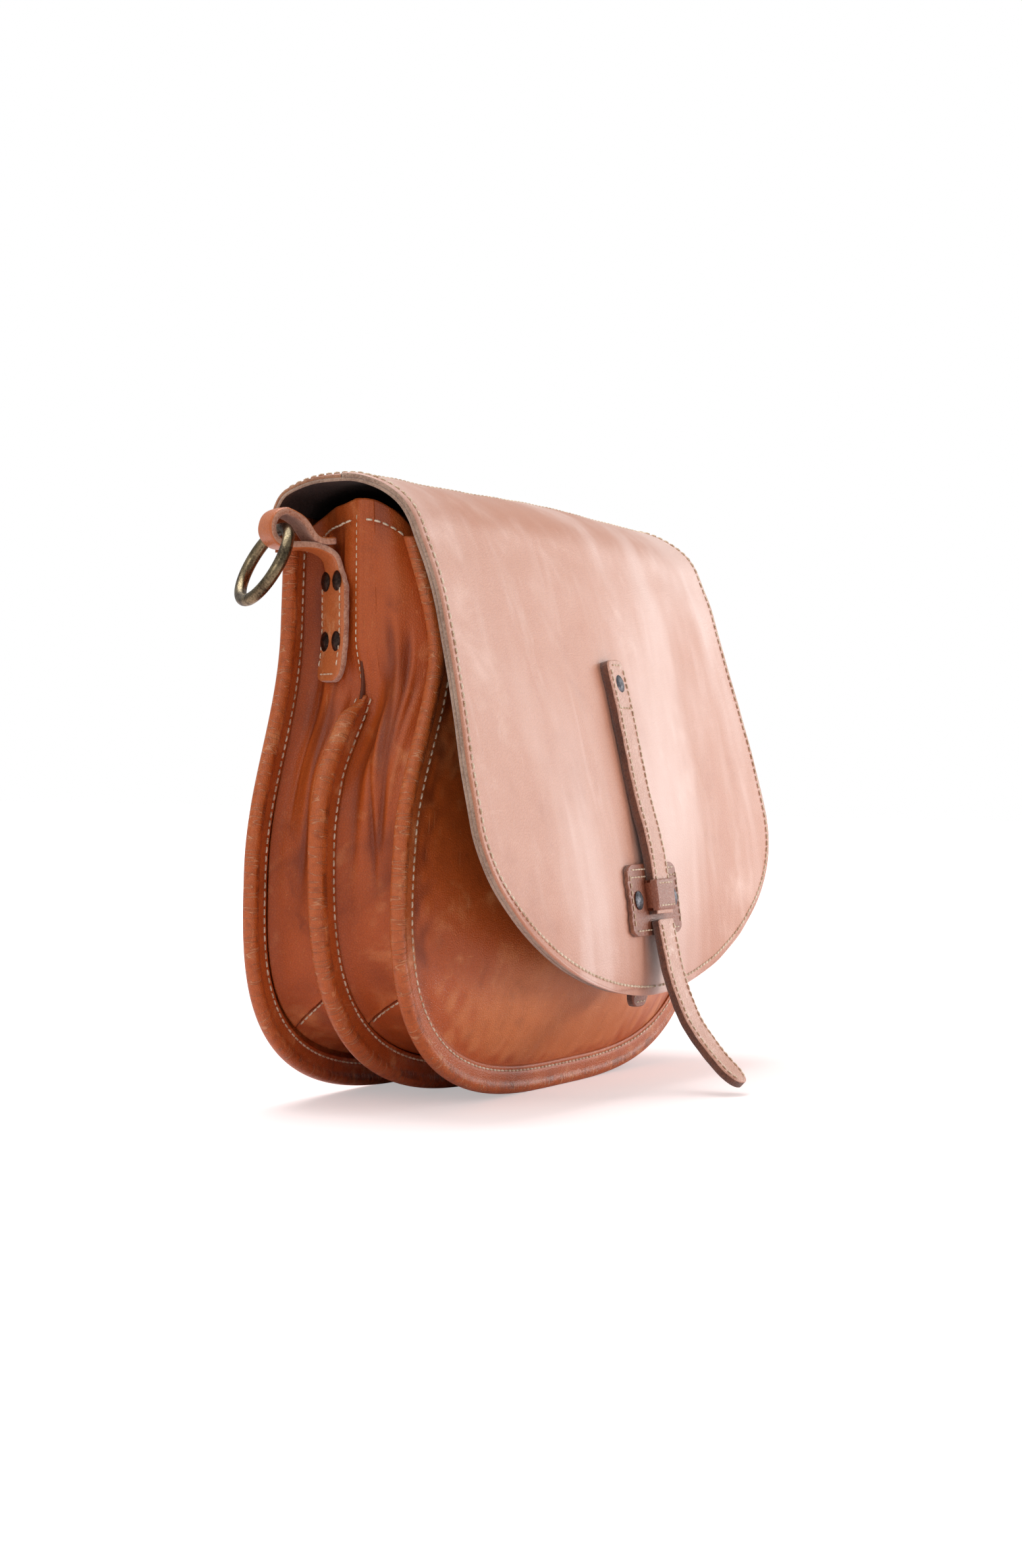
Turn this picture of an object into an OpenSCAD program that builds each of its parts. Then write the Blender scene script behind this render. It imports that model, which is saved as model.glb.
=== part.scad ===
// Saddle handbag with two compartments, a long front flap, a strap closure and two ring anchors.
// X runs to the right seen from the front, Y to the back, Z up. The origin is the middle of the
// middle welt's flat foot, on the floor.

/* [Rims] */
// Half width of the rear rim at its widest
rear_half_w = 179; // [170:1:186]
// Half width of the middle rim at its widest
middle_half_w = 180; // [172:1:188]
// Half width of the front rim at its widest
front_half_w = 177; // [168:1:184]
// Half width of all rims at the neck
neck_half_w = 154; // [147:1:160]
// Height of the widest place above the floor
widest_z = 117; // [107:1:126]
// Height at which the shoulders end in the straight neck
shoulder_z = 217; // [206:1:228]
// How square the lower corners of the rims are, 2 being an ellipse
corner_power = 3; // [2.6:0.1:3.3]

/* [Planes] */
// Distance from the middle rim back to the rear rim
rear_gap = 37; // [33:1:41]
// How far the rear rim and panel lean forward at the mouth
rear_lean = 8; // [4:0.5:10]
// Distance from the middle rim forward to the front rim, low down
front_gap = 37; // [33:1:42]
// How far the front rim bows forward at the height of the anchors
front_bow = 9; // [6:0.5:11]
// How far the front rim draws back again at the mouth
front_draw = 9; // [7:0.5:12]
// How far the middle seam draws forward at the neck
middle_draw = 7.5; // [5:0.5:9]

/* [Mouths] */
// Height of the rear panel's top edge
rear_top_z = 260; // [255:1:261]
// Height of the middle seam's top
middle_top_z = 271; // [266:1:272]
// Height of the front panel's top edge
front_top_z = 257; // [250:1:259]
// Height of the turned and stitched band round the mouths
hem_h = 13; // [9:1:18]
// Thickness of the facing strips inside the mouths
hem_t = 1.2; // [0.8:0.1:1.6]

/* [Leather] */
// Thickness of the panels and gussets
leather_t = 1.8; // [1.4:0.1:2.2]
// Thickness of the divider between the compartments
divider_t = 1.2; // [1:0.1:1.6]
// Thickness of the textile linings
lining_t = 0.8; // [0.6:0.1:1]

/* [Welts] */
// Thickness of the binding leather on the welt's cheeks
cheek_t = 1.4; // [1:0.1:1.8]
// How far the round bead stands proud of the cheeks
bead_proud = 0.5; // [0.3:0.1:1]
// Height of the cheeks below the bead, where the stitches run
cheek_h = 5; // [4:0.5:7]
// Height at which the middle welt ends, under the anchors
middle_welt_top = 184; // [178:1:186]

/* [Gussets] */
// Depth of the valleys between the welts low down, below the cheeks
valley_low = 3.5; // [2:0.5:6]
// Depth of the rear gusset's fold at the neck, below the rims' outline
fold_depth = 16; // [13:0.5:18]
// Depth of the ridge of the middle seam at the neck, below the rims' outline
ridge_depth = 1.5; // [1:0.5:3]
// Height of the seams between the side and bottom pieces of the gussets
seam_z = 34; // [26:1:44]

/* [Front panel] */
// How far the front panel swells in front of its rim
swell = 33; // [27:0.5:34]

/* [Flap] */
// Half width of the flap at the top
flap_top_half_w = 163; // [157:1:168]
// Half width of the flap at its widest
flap_half_w = 174; // [168:1:180]
// Height of the flap's widest place
flap_wide_z = 130; // [120:1:140]
// Height of the flap's lower edge
flap_hem_z = 46; // [41:1:52]
// Height of the flap's arch over the mouths
flap_ridge_z = 285.5; // [284:0.5:290]
// Distance that the flap runs forward of its hinge line
flap_reach = 122; // [119:0.5:126]
// Thickness of the flap's outer leather
flap_t = 2.4; // [2:0.1:2.6]
// Thickness of the flap's inner leather
flap_lining_t = 1.6; // [1.2:0.1:1.8]
// Height of the hinge line at the back
hinge_z = 264; // [263:0.5:266]
// Height of the yoke on the back panel below the hinge line
yoke_h = 62; // [40:1:90]
// Thickness of the yoke's leather
yoke_t = 1.8; // [1.4:0.1:2.2]

/* [Closure] */
// Width of the closure strap, its tail and the snap tab
strap_w = 19; // [16:1:24]
// Thickness of the closure strap
strap_t = 4; // [3.2:0.2:4.4]
// Height of the strap's upper end
strap_top_z = 206; // [200:1:212]
// Height of the strap's rivet
strap_rivet_z = 194.5; // [190:0.5:197]
// Diameter of the rivet caps on the flap
cap_d = 9; // [7:0.5:11]
// Width of the patch below the strap
patch_w = 60; // [52:1:70]
// Height of the patch
patch_h = 34; // [30:1:38]
// Height of the patch's lower edge
patch_z = 75; // [70:1:79]
// Thickness of the patch
patch_t = 2.2; // [1.6:0.2:2.4]
// Height of the keeper band
keeper_h = 14.5; // [11:0.5:16]
// Height of the keeper's lower edge above the patch's lower edge
keeper_rise = 11.5; // [9:0.5:14]
// Thickness of the keeper's leather
keeper_t = 2; // [1.6:0.2:2.4]
// Distance that the tail stands out in front of the flap
tail_out = 42; // [30:1:50]
// Height of the tail's tip above the floor
tail_tip_z = 5; // [4:0.5:12]
// Height of the snap tab's lower end
tab_end_z = 40; // [36:1:43]
// Height of the snap tab's sewn upper end
tab_top_z = 104; // [98:1:108]
// Diameter of the snap's two halves
snap_d = 14; // [10:1:16]
// Height of the snap's centre
snap_z = 60; // [56:1:66]

/* [Anchors] */
// Width of the anchor tabs
anchor_w = 25; // [21:1:26]
// Width of the anchors' loops
loop_w = 15; // [12:1:17]
// Thickness of the anchors' leather
anchor_t = 2.8; // [2.4:0.1:3.2]
// Height of the anchor tabs' lower ends
anchor_z = 193; // [190:1:196]
// Height of the loops' centres
loop_z = 260.5; // [258:0.5:262]
// Distance of the loops' centres from the tabs' backs
loop_out = 28; // [25:1:31]
// Inner diameter of the loops
loop_d = 12; // [11.5:0.5:13]
// Diameter of the anchors' rivet caps
anchor_cap_d = 9; // [7:0.5:10]
// Outer diameter of the rings
ring_d = 42; // [38:1:46]
// Diameter of the rings' wire
wire_d = 5.5; // [4.5:0.5:6]
// Angle of the rings outward from hanging straight down
ring_tilt = 28; // [0:1:40]

/* [Hidden] */

// Colours of the leathers and metals
cognac = [0.74, 0.36, 0.16];
dark_cognac = [0.58, 0.27, 0.13];
tan = [0.86, 0.68, 0.58];
suede = [0.62, 0.5, 0.42];
textile = [0.45, 0.35, 0.28];
gunmetal = [0.3, 0.31, 0.34];
antique_brass = [0.45, 0.38, 0.25];

// Clearances between bodies, round shanks and between sewn layers, and one overrun for all cuts
gap = 0.3;
fit = 0.05;
sewn_gap = 0.3;
over = 2;

// Counts of steps, which set how smooth the swept shapes are
rim_steps = 30;
bead_steps = 9;
dome_rings = 6;
mouth_steps = 10;
flap_steps = 4;
round_fn = 48;

// Which rim is which
REAR = 0;
MIDDLE = 1;
FRONT = 2;

// Share of a rim's half that the lower lobe takes, by length
lobe_share = 0.6;
// Power of each rim's lower corner, and height of its widest place, beside the driving ones
rim_power_shares = [1.02, 0.94, 1.02];
rim_widest_shares = [0.93, 1, 1.06];
// Where the middle seam starts and ends its draw forward, as shares of the shoulder's height
draw_start_share = 0.68;
draw_end_share = 0.9;
// Where the front rim starts to draw back, as a share of the shoulder's height
front_draw_share = 0.9;
// How late the front rim bows
bow_power = 2.5;

// Half widths, heights and stacks of sewn layers for the three rims
rim_half_w = [rear_half_w, middle_half_w, front_half_w];
rim_top_z = [rear_top_z, middle_top_z, front_top_z];
rim_stack = [2 * leather_t, 2 * leather_t + divider_t, 2 * leather_t] + sewn_gap * [2, 4, 3];
rim_welt_top = [rear_top_z, middle_welt_top, front_top_z];

// Radius of a rim's bead
function bead_r(k) = rim_stack[k] / 2 + cheek_t + bead_proud;
// Depth below the outline at which the sewn edges start, inside the bead
function edge_d(k) = 2 * bead_r(k) - bead_proud;
// Depth below the outline at which the cheeks end
function cheek_d(k) = edge_d(k) + cheek_h;
// Depth at which the sewn edges lie below the bead
function sewn_d(k) = edge_d(k) + sewn_gap;

// A smooth step from 0 to 1
function clamp01(t) = min(1, max(0, t));
function smooth(t) = let (c = clamp01(t)) c * c * (3 - 2 * c);
function mix(a, b, t) = a + (b - a) * t;
// Steps of a sweep, from 0 to 1
function steps(n) = [for (i = [0:n]) i / n];

// Half width and height of rim k at share s of its half, 0 at the bottom and 1 at the top
function lobe_power(k) = corner_power * rim_power_shares[k];
function lobe_x(k, t) = rim_half_w[k] * pow(sin(t), 2 / lobe_power(k));
function lobe_top(k) = widest_z * rim_widest_shares[k];
function lobe_z(k, t) = lobe_top(k) * (1 - pow(cos(t), 2 / lobe_power(k)));
function neck_x(k, z) = mix(neck_half_w, rim_half_w[k],
    (1 + cos(180 * clamp01((z - lobe_top(k)) / (shoulder_z - lobe_top(k))))) / 2);
function rim_xz(k, s, top) = s < lobe_share
    ? [lobe_x(k, 90 * s / lobe_share), lobe_z(k, 90 * s / lobe_share)]
    : let (z = mix(lobe_top(k), top, (s - lobe_share) / (1 - lobe_share))) [neck_x(k, z), z];
// The seam plane of rim k at a height
function rear_y(z) = rear_gap - rear_lean * z / rear_top_z;
function middle_y(z) = -middle_draw * smooth((z / shoulder_z - draw_start_share)
    / (draw_end_share - draw_start_share));
function front_y(z) = -front_gap - front_bow * sin(180 * pow(clamp01(z / middle_top_z), bow_power))
    + front_draw * smooth((z - front_draw_share * shoulder_z) / (middle_top_z - front_draw_share * shoulder_z));
function rim_y(k, z) = k == REAR ? rear_y(z) : k == MIDDLE ? middle_y(z) : front_y(z);

// Point on rim k, d below its outline and y behind its seam plane, at share s from -1 on the left to 1
ds = 0.004;
function rim_dir(k, s, top) = let (a = rim_xz(k, max(0, s - ds), top), b = rim_xz(k, min(1, s + ds), top))
    (b - a) / norm(b - a);
function rim_point(k, s, d, y, top) =
    let (p = rim_xz(k, abs(s), top), t = abs(s) < ds ? [1, 0] : rim_dir(k, abs(s), top),
        x = p[0] - d * t[1], z = p[1] + d * t[0])
    [(s < 0 ? -1 : 1) * x, rim_y(k, z) + y, max(0, z)];

// Faces of a sweep of rings with n points each, closed by flat caps
function sweep_faces(rings, n) = concat(
    [[for (j = [n - 1:-1:0]) j]],
    [for (i = [0:rings - 2], j = [0:n - 1]) let (k = (j + 1) % n)
        each [[i * n + j, i * n + k, (i + 1) * n + j], [i * n + k, (i + 1) * n + k, (i + 1) * n + j]]],
    [[for (j = [0:n - 1]) (rings - 1) * n + j]]);
module sweep(rings) {
    polyhedron([for (r = rings) each r], sweep_faces(len(rings), len(rings[0])), convexity = 6);
}

// Points of a curve through chosen points, and its outward offset
function spline(p, i, t) =
    let (a = p[max(0, i - 1)], b = p[i], c = p[i + 1], d = p[min(len(p) - 1, i + 2)])
    (2 * b + (c - a) * t + (2 * a - 5 * b + 4 * c - d) * t * t + (3 * b - a - 3 * c + d) * t * t * t) / 2;
function curve(p, n) = [for (i = [0:len(p) - 2], j = [0:n - 1]) spline(p, i, j / n), p[len(p) - 1]];
function turn(v) = [-v[1], v[0]];
function side(p, i) = let (a = p[max(0, i - 1)], b = p[min(len(p) - 1, i + 1)]) turn(a - b) / norm(a - b);
function shifted(p, o) = [for (i = [0:len(p) - 1]) p[i] + side(p, i) * o];
function ramped(p, o) = [for (i = [0:len(p) - 1]) p[i] + side(p, i) * o[i]];
function reversed(p) = [for (i = [len(p) - 1:-1:0]) p[i]];

// A slab whose outline is drawn in Y and Z, as wide as w along X
module across(w) {
    rotate([90, 0, 90]) linear_extrude(w, center = true) children();
}
// A slab whose outline is drawn in X and Z, reaching past the whole bag along Y
slab_l = 4 * (flap_reach + rear_gap);
module along() {
    rotate([90, 0, 0]) linear_extrude(slab_l, center = true) children();
}

// Welts: a bead with two cheeks that hold the sewn edges between them
// The bead is let down by foot_sink and cut off at the floor, which gives it a flat foot
foot_sink = 0.5;
function welt_section(k) =
    let (h = rim_stack[k] / 2, r = bead_r(k), a = asin((h + cheek_t) / r))
    concat([[edge_d(k), h], [cheek_d(k), h], [cheek_d(k), h + cheek_t]],
        [for (t = steps(bead_steps)) let (g = mix(a, 360 - a, t)) [r + r * cos(g) - foot_sink, r * sin(g)]],
        [[cheek_d(k), -h - cheek_t], [cheek_d(k), -h], [edge_d(k), -h]]);
module welt(k) {
    top = rim_welt_top[k];
    sweep([for (i = [-rim_steps:rim_steps])
        [for (q = welt_section(k)) rim_point(k, i / rim_steps, q[0], q[1], top)]]);
}
module rear_welt() { color(cognac) welt(REAR); }
module middle_welt() { color(cognac) welt(MIDDLE); }
module front_welt() { color(cognac) welt(FRONT); }

// Flat panels, cut to the rims and held in the welts
function panel_outline(k, d, top, low = 0) =
    let (half = [for (i = [0:rim_steps]) let (p = rim_point(k, i / rim_steps, d, 0, top))
        [p[0], max(low, p[2])]])
    concat([for (p = reversed(half)) [-p[0], p[1]]], [for (i = [1:rim_steps]) half[i]]);
// What lies on the leaning rear seam plane
module leaned() {
    translate([0, rear_gap, 0]) rotate([atan(rear_lean / rear_top_z), 0, 0]) children();
}
module back_panel() {
    color(cognac)
        leaned()
            translate([0, leather_t, 0])
                rotate([90, 0, 0])
                    linear_extrude(leather_t) polygon(panel_outline(REAR, sewn_d(REAR), rear_top_z));
}

// The divider follows the middle seam's draw, so it is swept upward in rows
divider_rows = 44;
function divider_row(s) =
    let (e = ridge_mix(s), p = rim_point(MIDDLE, s, mix(sewn_d(MIDDLE), ridge_depth, e), 0, middle_top_z),
        h = divider_t / 2)
    [[-p[0], p[1] + h, p[2]], [p[0], p[1] + h, p[2]], [p[0], p[1] - h, p[2]], [-p[0], p[1] - h, p[2]]];
module divider_panel() {
    color(dark_cognac) sweep([for (t = steps(divider_rows)) divider_row(mix(ds, 1, t))]);
}

// How far a gusset's edge has left the middle welt and become the bare ridge, 0 below and 1 above
ridge_run = 30;
function ridge_mix(s) = smooth((rim_xz(MIDDLE, abs(s), middle_top_z)[1] - middle_welt_top) / ridge_run);
// How far a gusset has changed from its low form to its neck form, and how far the ridge's own change
// reaches across it
ridge_reach_share = 0.5;
neck_start_share = 0.55;
neck_end_share = 0.86;
function neck_mix(z) = smooth((z / shoulder_z - neck_start_share) / (neck_end_share - neck_start_share));

// Depths across a gusset: shares of the valley's depth low down, and at the neck
low_shares = [0, 0.55, 0.85, 1, 1, 0.85, 0.55, 0];
rear_neck_shares = [0.8, 1, 1, 0.78, 0.45, 0.18, 0.05, 0];
front_neck_shares = [0, 0.03, 0.08, 0.2, 0.42, 0.62, 0.74, 0.66];
// Places of those depths across the gap, at the neck
rear_place_shares = [0, 0.17, 0.3, 0.42, 0.6, 0.78, 0.9, 1];
front_place_shares = [0, 0.16, 0.32, 0.48, 0.63, 0.77, 0.89, 1];
even_shares = [0, 0.1, 0.26, 0.42, 0.58, 0.74, 0.9, 1];

// Depth at which the gussets clear the cheeks
gusset_base = cheek_d(MIDDLE) + leather_t / 4;
// Share of the gap beside each rim over which a gusset stays below that rim's cheeks
root_share = 0.18;
function root_d(k, e) = (cheek_d(k) + leather_t / 4) * (k == MIDDLE ? 1 - e : 1);
// The outer face of a gusset between rims a and b: [place across, depth], and the sheet's inner face
function gusset_line(a, b, s, place, neck) =
    let (z = rim_xz(MIDDLE, abs(s), middle_top_z)[1], n = neck_mix(z), e = ridge_mix(s),
        ha = rim_stack[a] / 2 - sewn_gap, hb = rim_stack[b] / 2 - sewn_gap,
        ya = rim_y(a, z) - ha, yb = rim_y(b, z) + hb,
        ea = a == MIDDLE ? mix(sewn_d(a), ridge_depth / 2, e) : sewn_d(a),
        eb = b == MIDDLE ? mix(sewn_d(b), ridge_depth / 2, e) : sewn_d(b))
    concat([[0, ea, ya]],
        [for (i = [0:len(place) - 1]) let (v = mix(even_shares[i], place[i], n),
                near = clamp01(1 - abs(v - (a == MIDDLE ? 0 : 1)) / ridge_reach_share))
            [v, max(v < root_share ? root_d(a, e) : 0, v > 1 - root_share ? root_d(b, e) : 0,
                mix(gusset_base + valley_low * low_shares[i], mix(ridge_depth, fold_depth, neck[i]), mix(n, e, near))),
                mix(ya, yb, v)]],
        [[1, eb, yb]]);
function thick(line, t) = let (p = [for (q = line) [q[2], q[1]]], m = len(p) - 1)
    [for (i = [0:m]) let (a = i == 0 ? [0, 1] : (p[i] - p[i - 1]) / norm(p[i] - p[i - 1]),
            b = i == m ? [0, -1] : (p[i + 1] - p[i]) / norm(p[i + 1] - p[i]),
            na = -turn(a), nb = -turn(b), nm = (na + nb) / norm(na + nb))
        [line[i][0], p[i][1] + t * nm[1] / max(0.6, nm * na), p[i][0] + t * nm[0] / max(0.6, nm * na)]];
// The point of a gusset at place v, depth d and y, between its two rims. Its y is drawn at the middle
// rim's height, and is carried over to the seam planes at the point's own height.
function gusset_point(a, b, s, q) =
    let (p = rim_point(a, s, q[1], 0, rim_top_z[a]), r = rim_point(b, s, q[1], 0, rim_top_z[b]),
        v = clamp01(q[0]), z = mix(p[2], r[2], v), drawn = rim_xz(MIDDLE, abs(s), middle_top_z)[1])
    [mix(p[0], r[0], v), q[2] + mix(rim_y(a, z) - rim_y(a, drawn), rim_y(b, z) - rim_y(b, drawn), v), z];
function gusset_ring(a, b, s, place, neck) =
    let (outer = gusset_line(a, b, s, place, neck), inner = thick(outer, leather_t))
    [for (q = concat(outer, reversed(inner))) gusset_point(a, b, s, q)];
// Share of the rim's half at the seams between side and bottom pieces
seam_share = lobe_share * acos(pow(1 - seam_z / widest_z, corner_power / 2)) / 90;
side_steps = 42;
bottom_steps = 18;
module gusset_piece(a, b, from, to, n) {
    place = a == REAR ? rear_place_shares : front_place_shares;
    neck = a == REAR ? rear_neck_shares : front_neck_shares;
    sweep([for (t = steps(n)) gusset_ring(a, b, mix(from, to, t), place, neck)]);
}
module rear_gusset_left() { color(cognac) gusset_piece(REAR, MIDDLE, -1, -seam_share, side_steps); }
module rear_gusset_bottom() {
    color(dark_cognac) gusset_piece(REAR, MIDDLE, -seam_share, seam_share, bottom_steps);
}
module rear_gusset_right() { color(cognac) gusset_piece(REAR, MIDDLE, seam_share, 1, side_steps); }
module front_gusset_left() { color(cognac) gusset_piece(MIDDLE, FRONT, -1, -seam_share, side_steps); }
module front_gusset_bottom() {
    color(dark_cognac) gusset_piece(MIDDLE, FRONT, -seam_share, seam_share, bottom_steps);
}
module front_gusset_right() { color(cognac) gusset_piece(MIDDLE, FRONT, seam_share, 1, side_steps); }

// The front panel: a flat edge in the welt, then a swell that is highest at the middle
swell_power = 2.2;
mouth_power = 1.3;
swell_z = 105;
function front_loop(d) = let (y = -rim_stack[FRONT] / 2 + sewn_gap / 2, top = front_top_z + edge_d(FRONT) - d)
    concat([for (i = [-rim_steps:rim_steps]) rim_point(FRONT, i / rim_steps, d, y, top)],
    [for (i = [1:mouth_steps - 1]) let (p = rim_point(FRONT, 1, d, y, top))
        [mix(p[0], -p[0], i / mouth_steps), p[1], p[2]]]);
swell_peak = [0, -front_gap - swell, swell_z];
function dome(q, r) =
    let (m = pow(r, mix(swell_power, mouth_power, smooth((q[2] - swell_z) / (front_top_z - swell_z)))))
    [q[0] * r, mix(swell_peak[1], q[1], m), mix(swell_z, q[2], r)];
function front_skin(y) = let (rim = front_loop(sewn_d(FRONT)), foot = front_loop(cheek_d(FRONT) + gap))
    concat([for (q = rim) q + [0, y, 0]],
        [for (i = [dome_rings:-1:1], q = foot) dome(q, i / dome_rings) + [0, y, 0]], [swell_peak + [0, y, 0]]);
function skin_faces(n, rings, start, flip) = concat(
    [for (i = [0:rings - 1], j = [0:n - 1])
        let (k = (j + 1) % n, a = start + i * n + j, b = start + i * n + k)
        each flip ? [[a, b, a + n], [b, b + n, a + n]] : [[a, a + n, b], [b, a + n, b + n]]],
    [for (j = [0:n - 1]) let (k = (j + 1) % n, a = start + rings * n + j, b = start + rings * n + k,
        c = start + (rings + 1) * n) flip ? [a, b, c] : [a, c, b]]);
module front_panel() {
    n = len(front_loop(0));
    size = len(front_skin(0));
    color(cognac)
        polyhedron(concat(front_skin(0), front_skin(leather_t)), concat(
            skin_faces(n, dome_rings, 0, false),
            skin_faces(n, dome_rings, size, true),
            [for (j = [0:n - 1]) let (k = (j + 1) % n) each [[j, k, size + j], [k, size + k, size + j]]]),
            convexity = 4);
}

// Linings: an open pouch in each compartment, clear of the folds
lining_d = max(fold_depth, gusset_base + valley_low) + leather_t + gap;
function lining_y(k) = k == REAR
    ? [leather_t + divider_t / 2 + gap, rear_gap - rear_lean - hem_t - gap]
    : [front_y(widest_z / 2) + leather_t + gap, -leather_t - divider_t / 2 - gap];
module lining_outline(k, d, top, low = 0) {
    intersection() {
        polygon(panel_outline(MIDDLE, d, top, low));
        polygon(panel_outline(k, d, top, low));
    }
}
lining_top_z = 150;
module lining(k, top) {
    y = lining_y(k);
    difference() {
        translate([0, y[1], 0])
            rotate([90, 0, 0])
                linear_extrude(y[1] - y[0]) lining_outline(k, lining_d, top);
        translate([0, y[1] - lining_t, lining_t])
            rotate([90, 0, 0])
                linear_extrude(y[1] - y[0] - 2 * lining_t)
                    lining_outline(k, lining_d + lining_t, top + over, low = lining_d);
    }
}
module rear_lining() { color(textile) lining(REAR, rear_top_z - hem_h); }
module front_lining() { color(textile) lining(FRONT, lining_top_z); }

// Facings: flat strips behind the stitched bands of the mouths
facing_half_w = neck_half_w - fold_depth - leather_t - 2 * gap;
module facing(y, t, top) {
    translate([-facing_half_w, y, top - hem_h]) cube([2 * facing_half_w, t, hem_h]);
}
module rear_mouth_facing() { color(dark_cognac) leaned() facing(-hem_t, hem_t, rear_top_z); }
module front_mouth_facing() {
    color(dark_cognac)
        facing(middle_y(middle_top_z) - divider_t / 2 - hem_t, hem_t, middle_top_z);
}

// The yoke: sewn flat on the back panel's top, ending in the hinge line
yoke_half_w = neck_half_w - cheek_d(REAR) - gap;
hinge_y = rear_y(hinge_z) + leather_t + yoke_t / 2;
fold_r = (flap_t + flap_lining_t) / 2;
// How far the yoke stays below the hinge's roll, so that the flap can be thrown back
yoke_drop = 1.5;
module back_yoke() {
    color(cognac)
        leaned()
            translate([-yoke_half_w, leather_t, hinge_z - fold_r - yoke_drop - yoke_h])
                cube([2 * yoke_half_w, yoke_t, yoke_h]);
}

// The flap's side view: shares of the reach forward and of the height above the lower edge
flap_profile_shares = [[0, 0.913], [0.011, 0.944], [0.056, 0.974], [0.16, 0.994], [0.273, 1],
    [0.37, 0.998], [0.471, 0.98], [0.554, 0.951], [0.604, 0.917], [0.639, 0.874], [0.691, 0.806],
    [0.759, 0.679], [0.824, 0.553], [0.882, 0.426], [0.937, 0.3], [0.977, 0.175], [0.998, 0.071],
    [1, 0.025], [0.996, 0]];
flap_start_y = hinge_y + fold_r;
flap_line = curve([for (q = flap_profile_shares) [flap_start_y - q[0] * flap_reach,
    mix(flap_hem_z, flap_ridge_z, q[1])]], flap_steps);
// A band of the flap between two distances in front of its outer face, whole and cut to an outline
module flap_band(low, high) {
    across(2 * flap_half_w)
        polygon(concat(shifted(flap_line, low), reversed(shifted(flap_line, high))));
}
module on_flap(low, high) {
    intersection() {
        flap_band(low, high);
        along() children();
    }
}
// The flap's outline seen from the front
flap_power = 1.84;
flap_widen_z = 236;
function flap_side(z) = mix(flap_top_half_w, flap_half_w,
    (1 + cos(180 * clamp01((z - flap_wide_z) / (flap_widen_z - flap_wide_z)))) / 2);
flap_outline_steps = 20;
function flap_half() = concat(
    [for (t = steps(flap_outline_steps)) [flap_half_w * pow(sin(90 * t), 2 / flap_power),
        mix(flap_wide_z, flap_hem_z, pow(cos(90 * t), 2 / flap_power))]],
    [for (i = [1:flap_outline_steps / 2]) let (z = mix(flap_wide_z, flap_widen_z, 2 * i / flap_outline_steps))
        [flap_side(z), z]],
    [[flap_top_half_w, flap_ridge_z + over]]);
module flap_outline() {
    half = flap_half();
    polygon(concat(half, [for (p = reversed(half)) [-p[0], p[1]]]));
}
// The seam across the arch where the yoke meets the front leather, and the far side of each
yoke_reach_share = 0.3;
seam_y = flap_start_y - yoke_reach_share * flap_reach;
module behind_seam() {
    translate([-2 * flap_half_w, seam_y, flap_hem_z]) cube([4 * flap_half_w, flap_reach, flap_ridge_z]);
}
module flap_panel() {
    color(tan)
        difference() {
            on_flap(-flap_t, 0) flap_outline();
            behind_seam();
        }
}
// The rolled end of the flap on the hinge line
module hinge_roll() {
    difference() {
        translate([0, hinge_y, hinge_z])
            rotate([0, 90, 0]) cylinder(r = fold_r, h = 2 * flap_top_half_w, center = true, $fn = round_fn);
        translate([-flap_half_w, hinge_y - fold_r - over, flap_line[0][1]])
            cube([2 * flap_half_w, 2 * fold_r + 2 * over, 2 * fold_r]);
        flap_band(-flap_t - flap_lining_t - over, -flap_t + fit);
    }
}
module flap_yoke() {
    color(cognac)
        union() {
            intersection() {
                on_flap(-flap_t, 0) flap_outline();
                behind_seam();
            }
            hinge_roll();
        }
}
module flap_lining() {
    color(suede) on_flap(-flap_t - flap_lining_t, -flap_t) flap_outline();
}

// The closure strap lies on the flap and climbs onto the patch
tail_axis_z = patch_z + keeper_rise - strap_t;
strap_end_z = tail_axis_z + strap_t / 2 + gap;
climb_z = 40;
function climb(z) = patch_t * smooth((patch_z + patch_h + climb_z - z) / climb_z);
module strap_profile() {
    low = [for (p = flap_line) climb(p[1])];
    polygon(concat(ramped(flap_line, low), reversed(ramped(flap_line, [for (l = low) l + strap_t]))));
}
module closure_strap() {
    color(dark_cognac)
        difference() {
            intersection() {
                across(strap_w) strap_profile();
                translate([-strap_w, -slab_l, strap_end_z]) cube([2 * strap_w, slab_l, strap_top_z - strap_end_z]);
            }
            rivet_hole(strap_rivet_z, 0);
        }
}

// Height to place on the flap's outer face
function flap_at(z, i = 0) = i >= len(flap_line) - 2 || (flap_line[i][1] >= z && flap_line[i + 1][1] < z)
    && flap_line[i][0] < seam_y ? i : flap_at(z, i + 1);
function flap_y(z) = let (i = flap_at(z), a = flap_line[i], b = flap_line[i + 1])
    mix(a[0], b[0], (a[1] - z) / (a[1] - b[1]));
function flap_tilt(z) = let (i = flap_at(z), a = flap_line[i], b = flap_line[i + 1])
    atan2(a[0] - b[0], a[1] - b[1]);
// What is set square on the flap's face at a height, with +Z of the child pointing out of it
module at_flap(x, z) {
    translate([x, flap_y(z), z]) rotate([90 - flap_tilt(z), 0, 0]) children();
}
shank_d = cap_d / 2.5;
cap_h = 1.4;
module rivet_hole(z, x) {
    at_flap(x, z) cylinder(d = shank_d, h = 4 * strap_t, center = true, $fn = round_fn);
}
module cap(d) {
    intersection() {
        cylinder(d = d, h = cap_h, $fn = round_fn);
        translate([0, 0, cap_h - d]) sphere(d = 2 * d, $fn = round_fn);
    }
}

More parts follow.
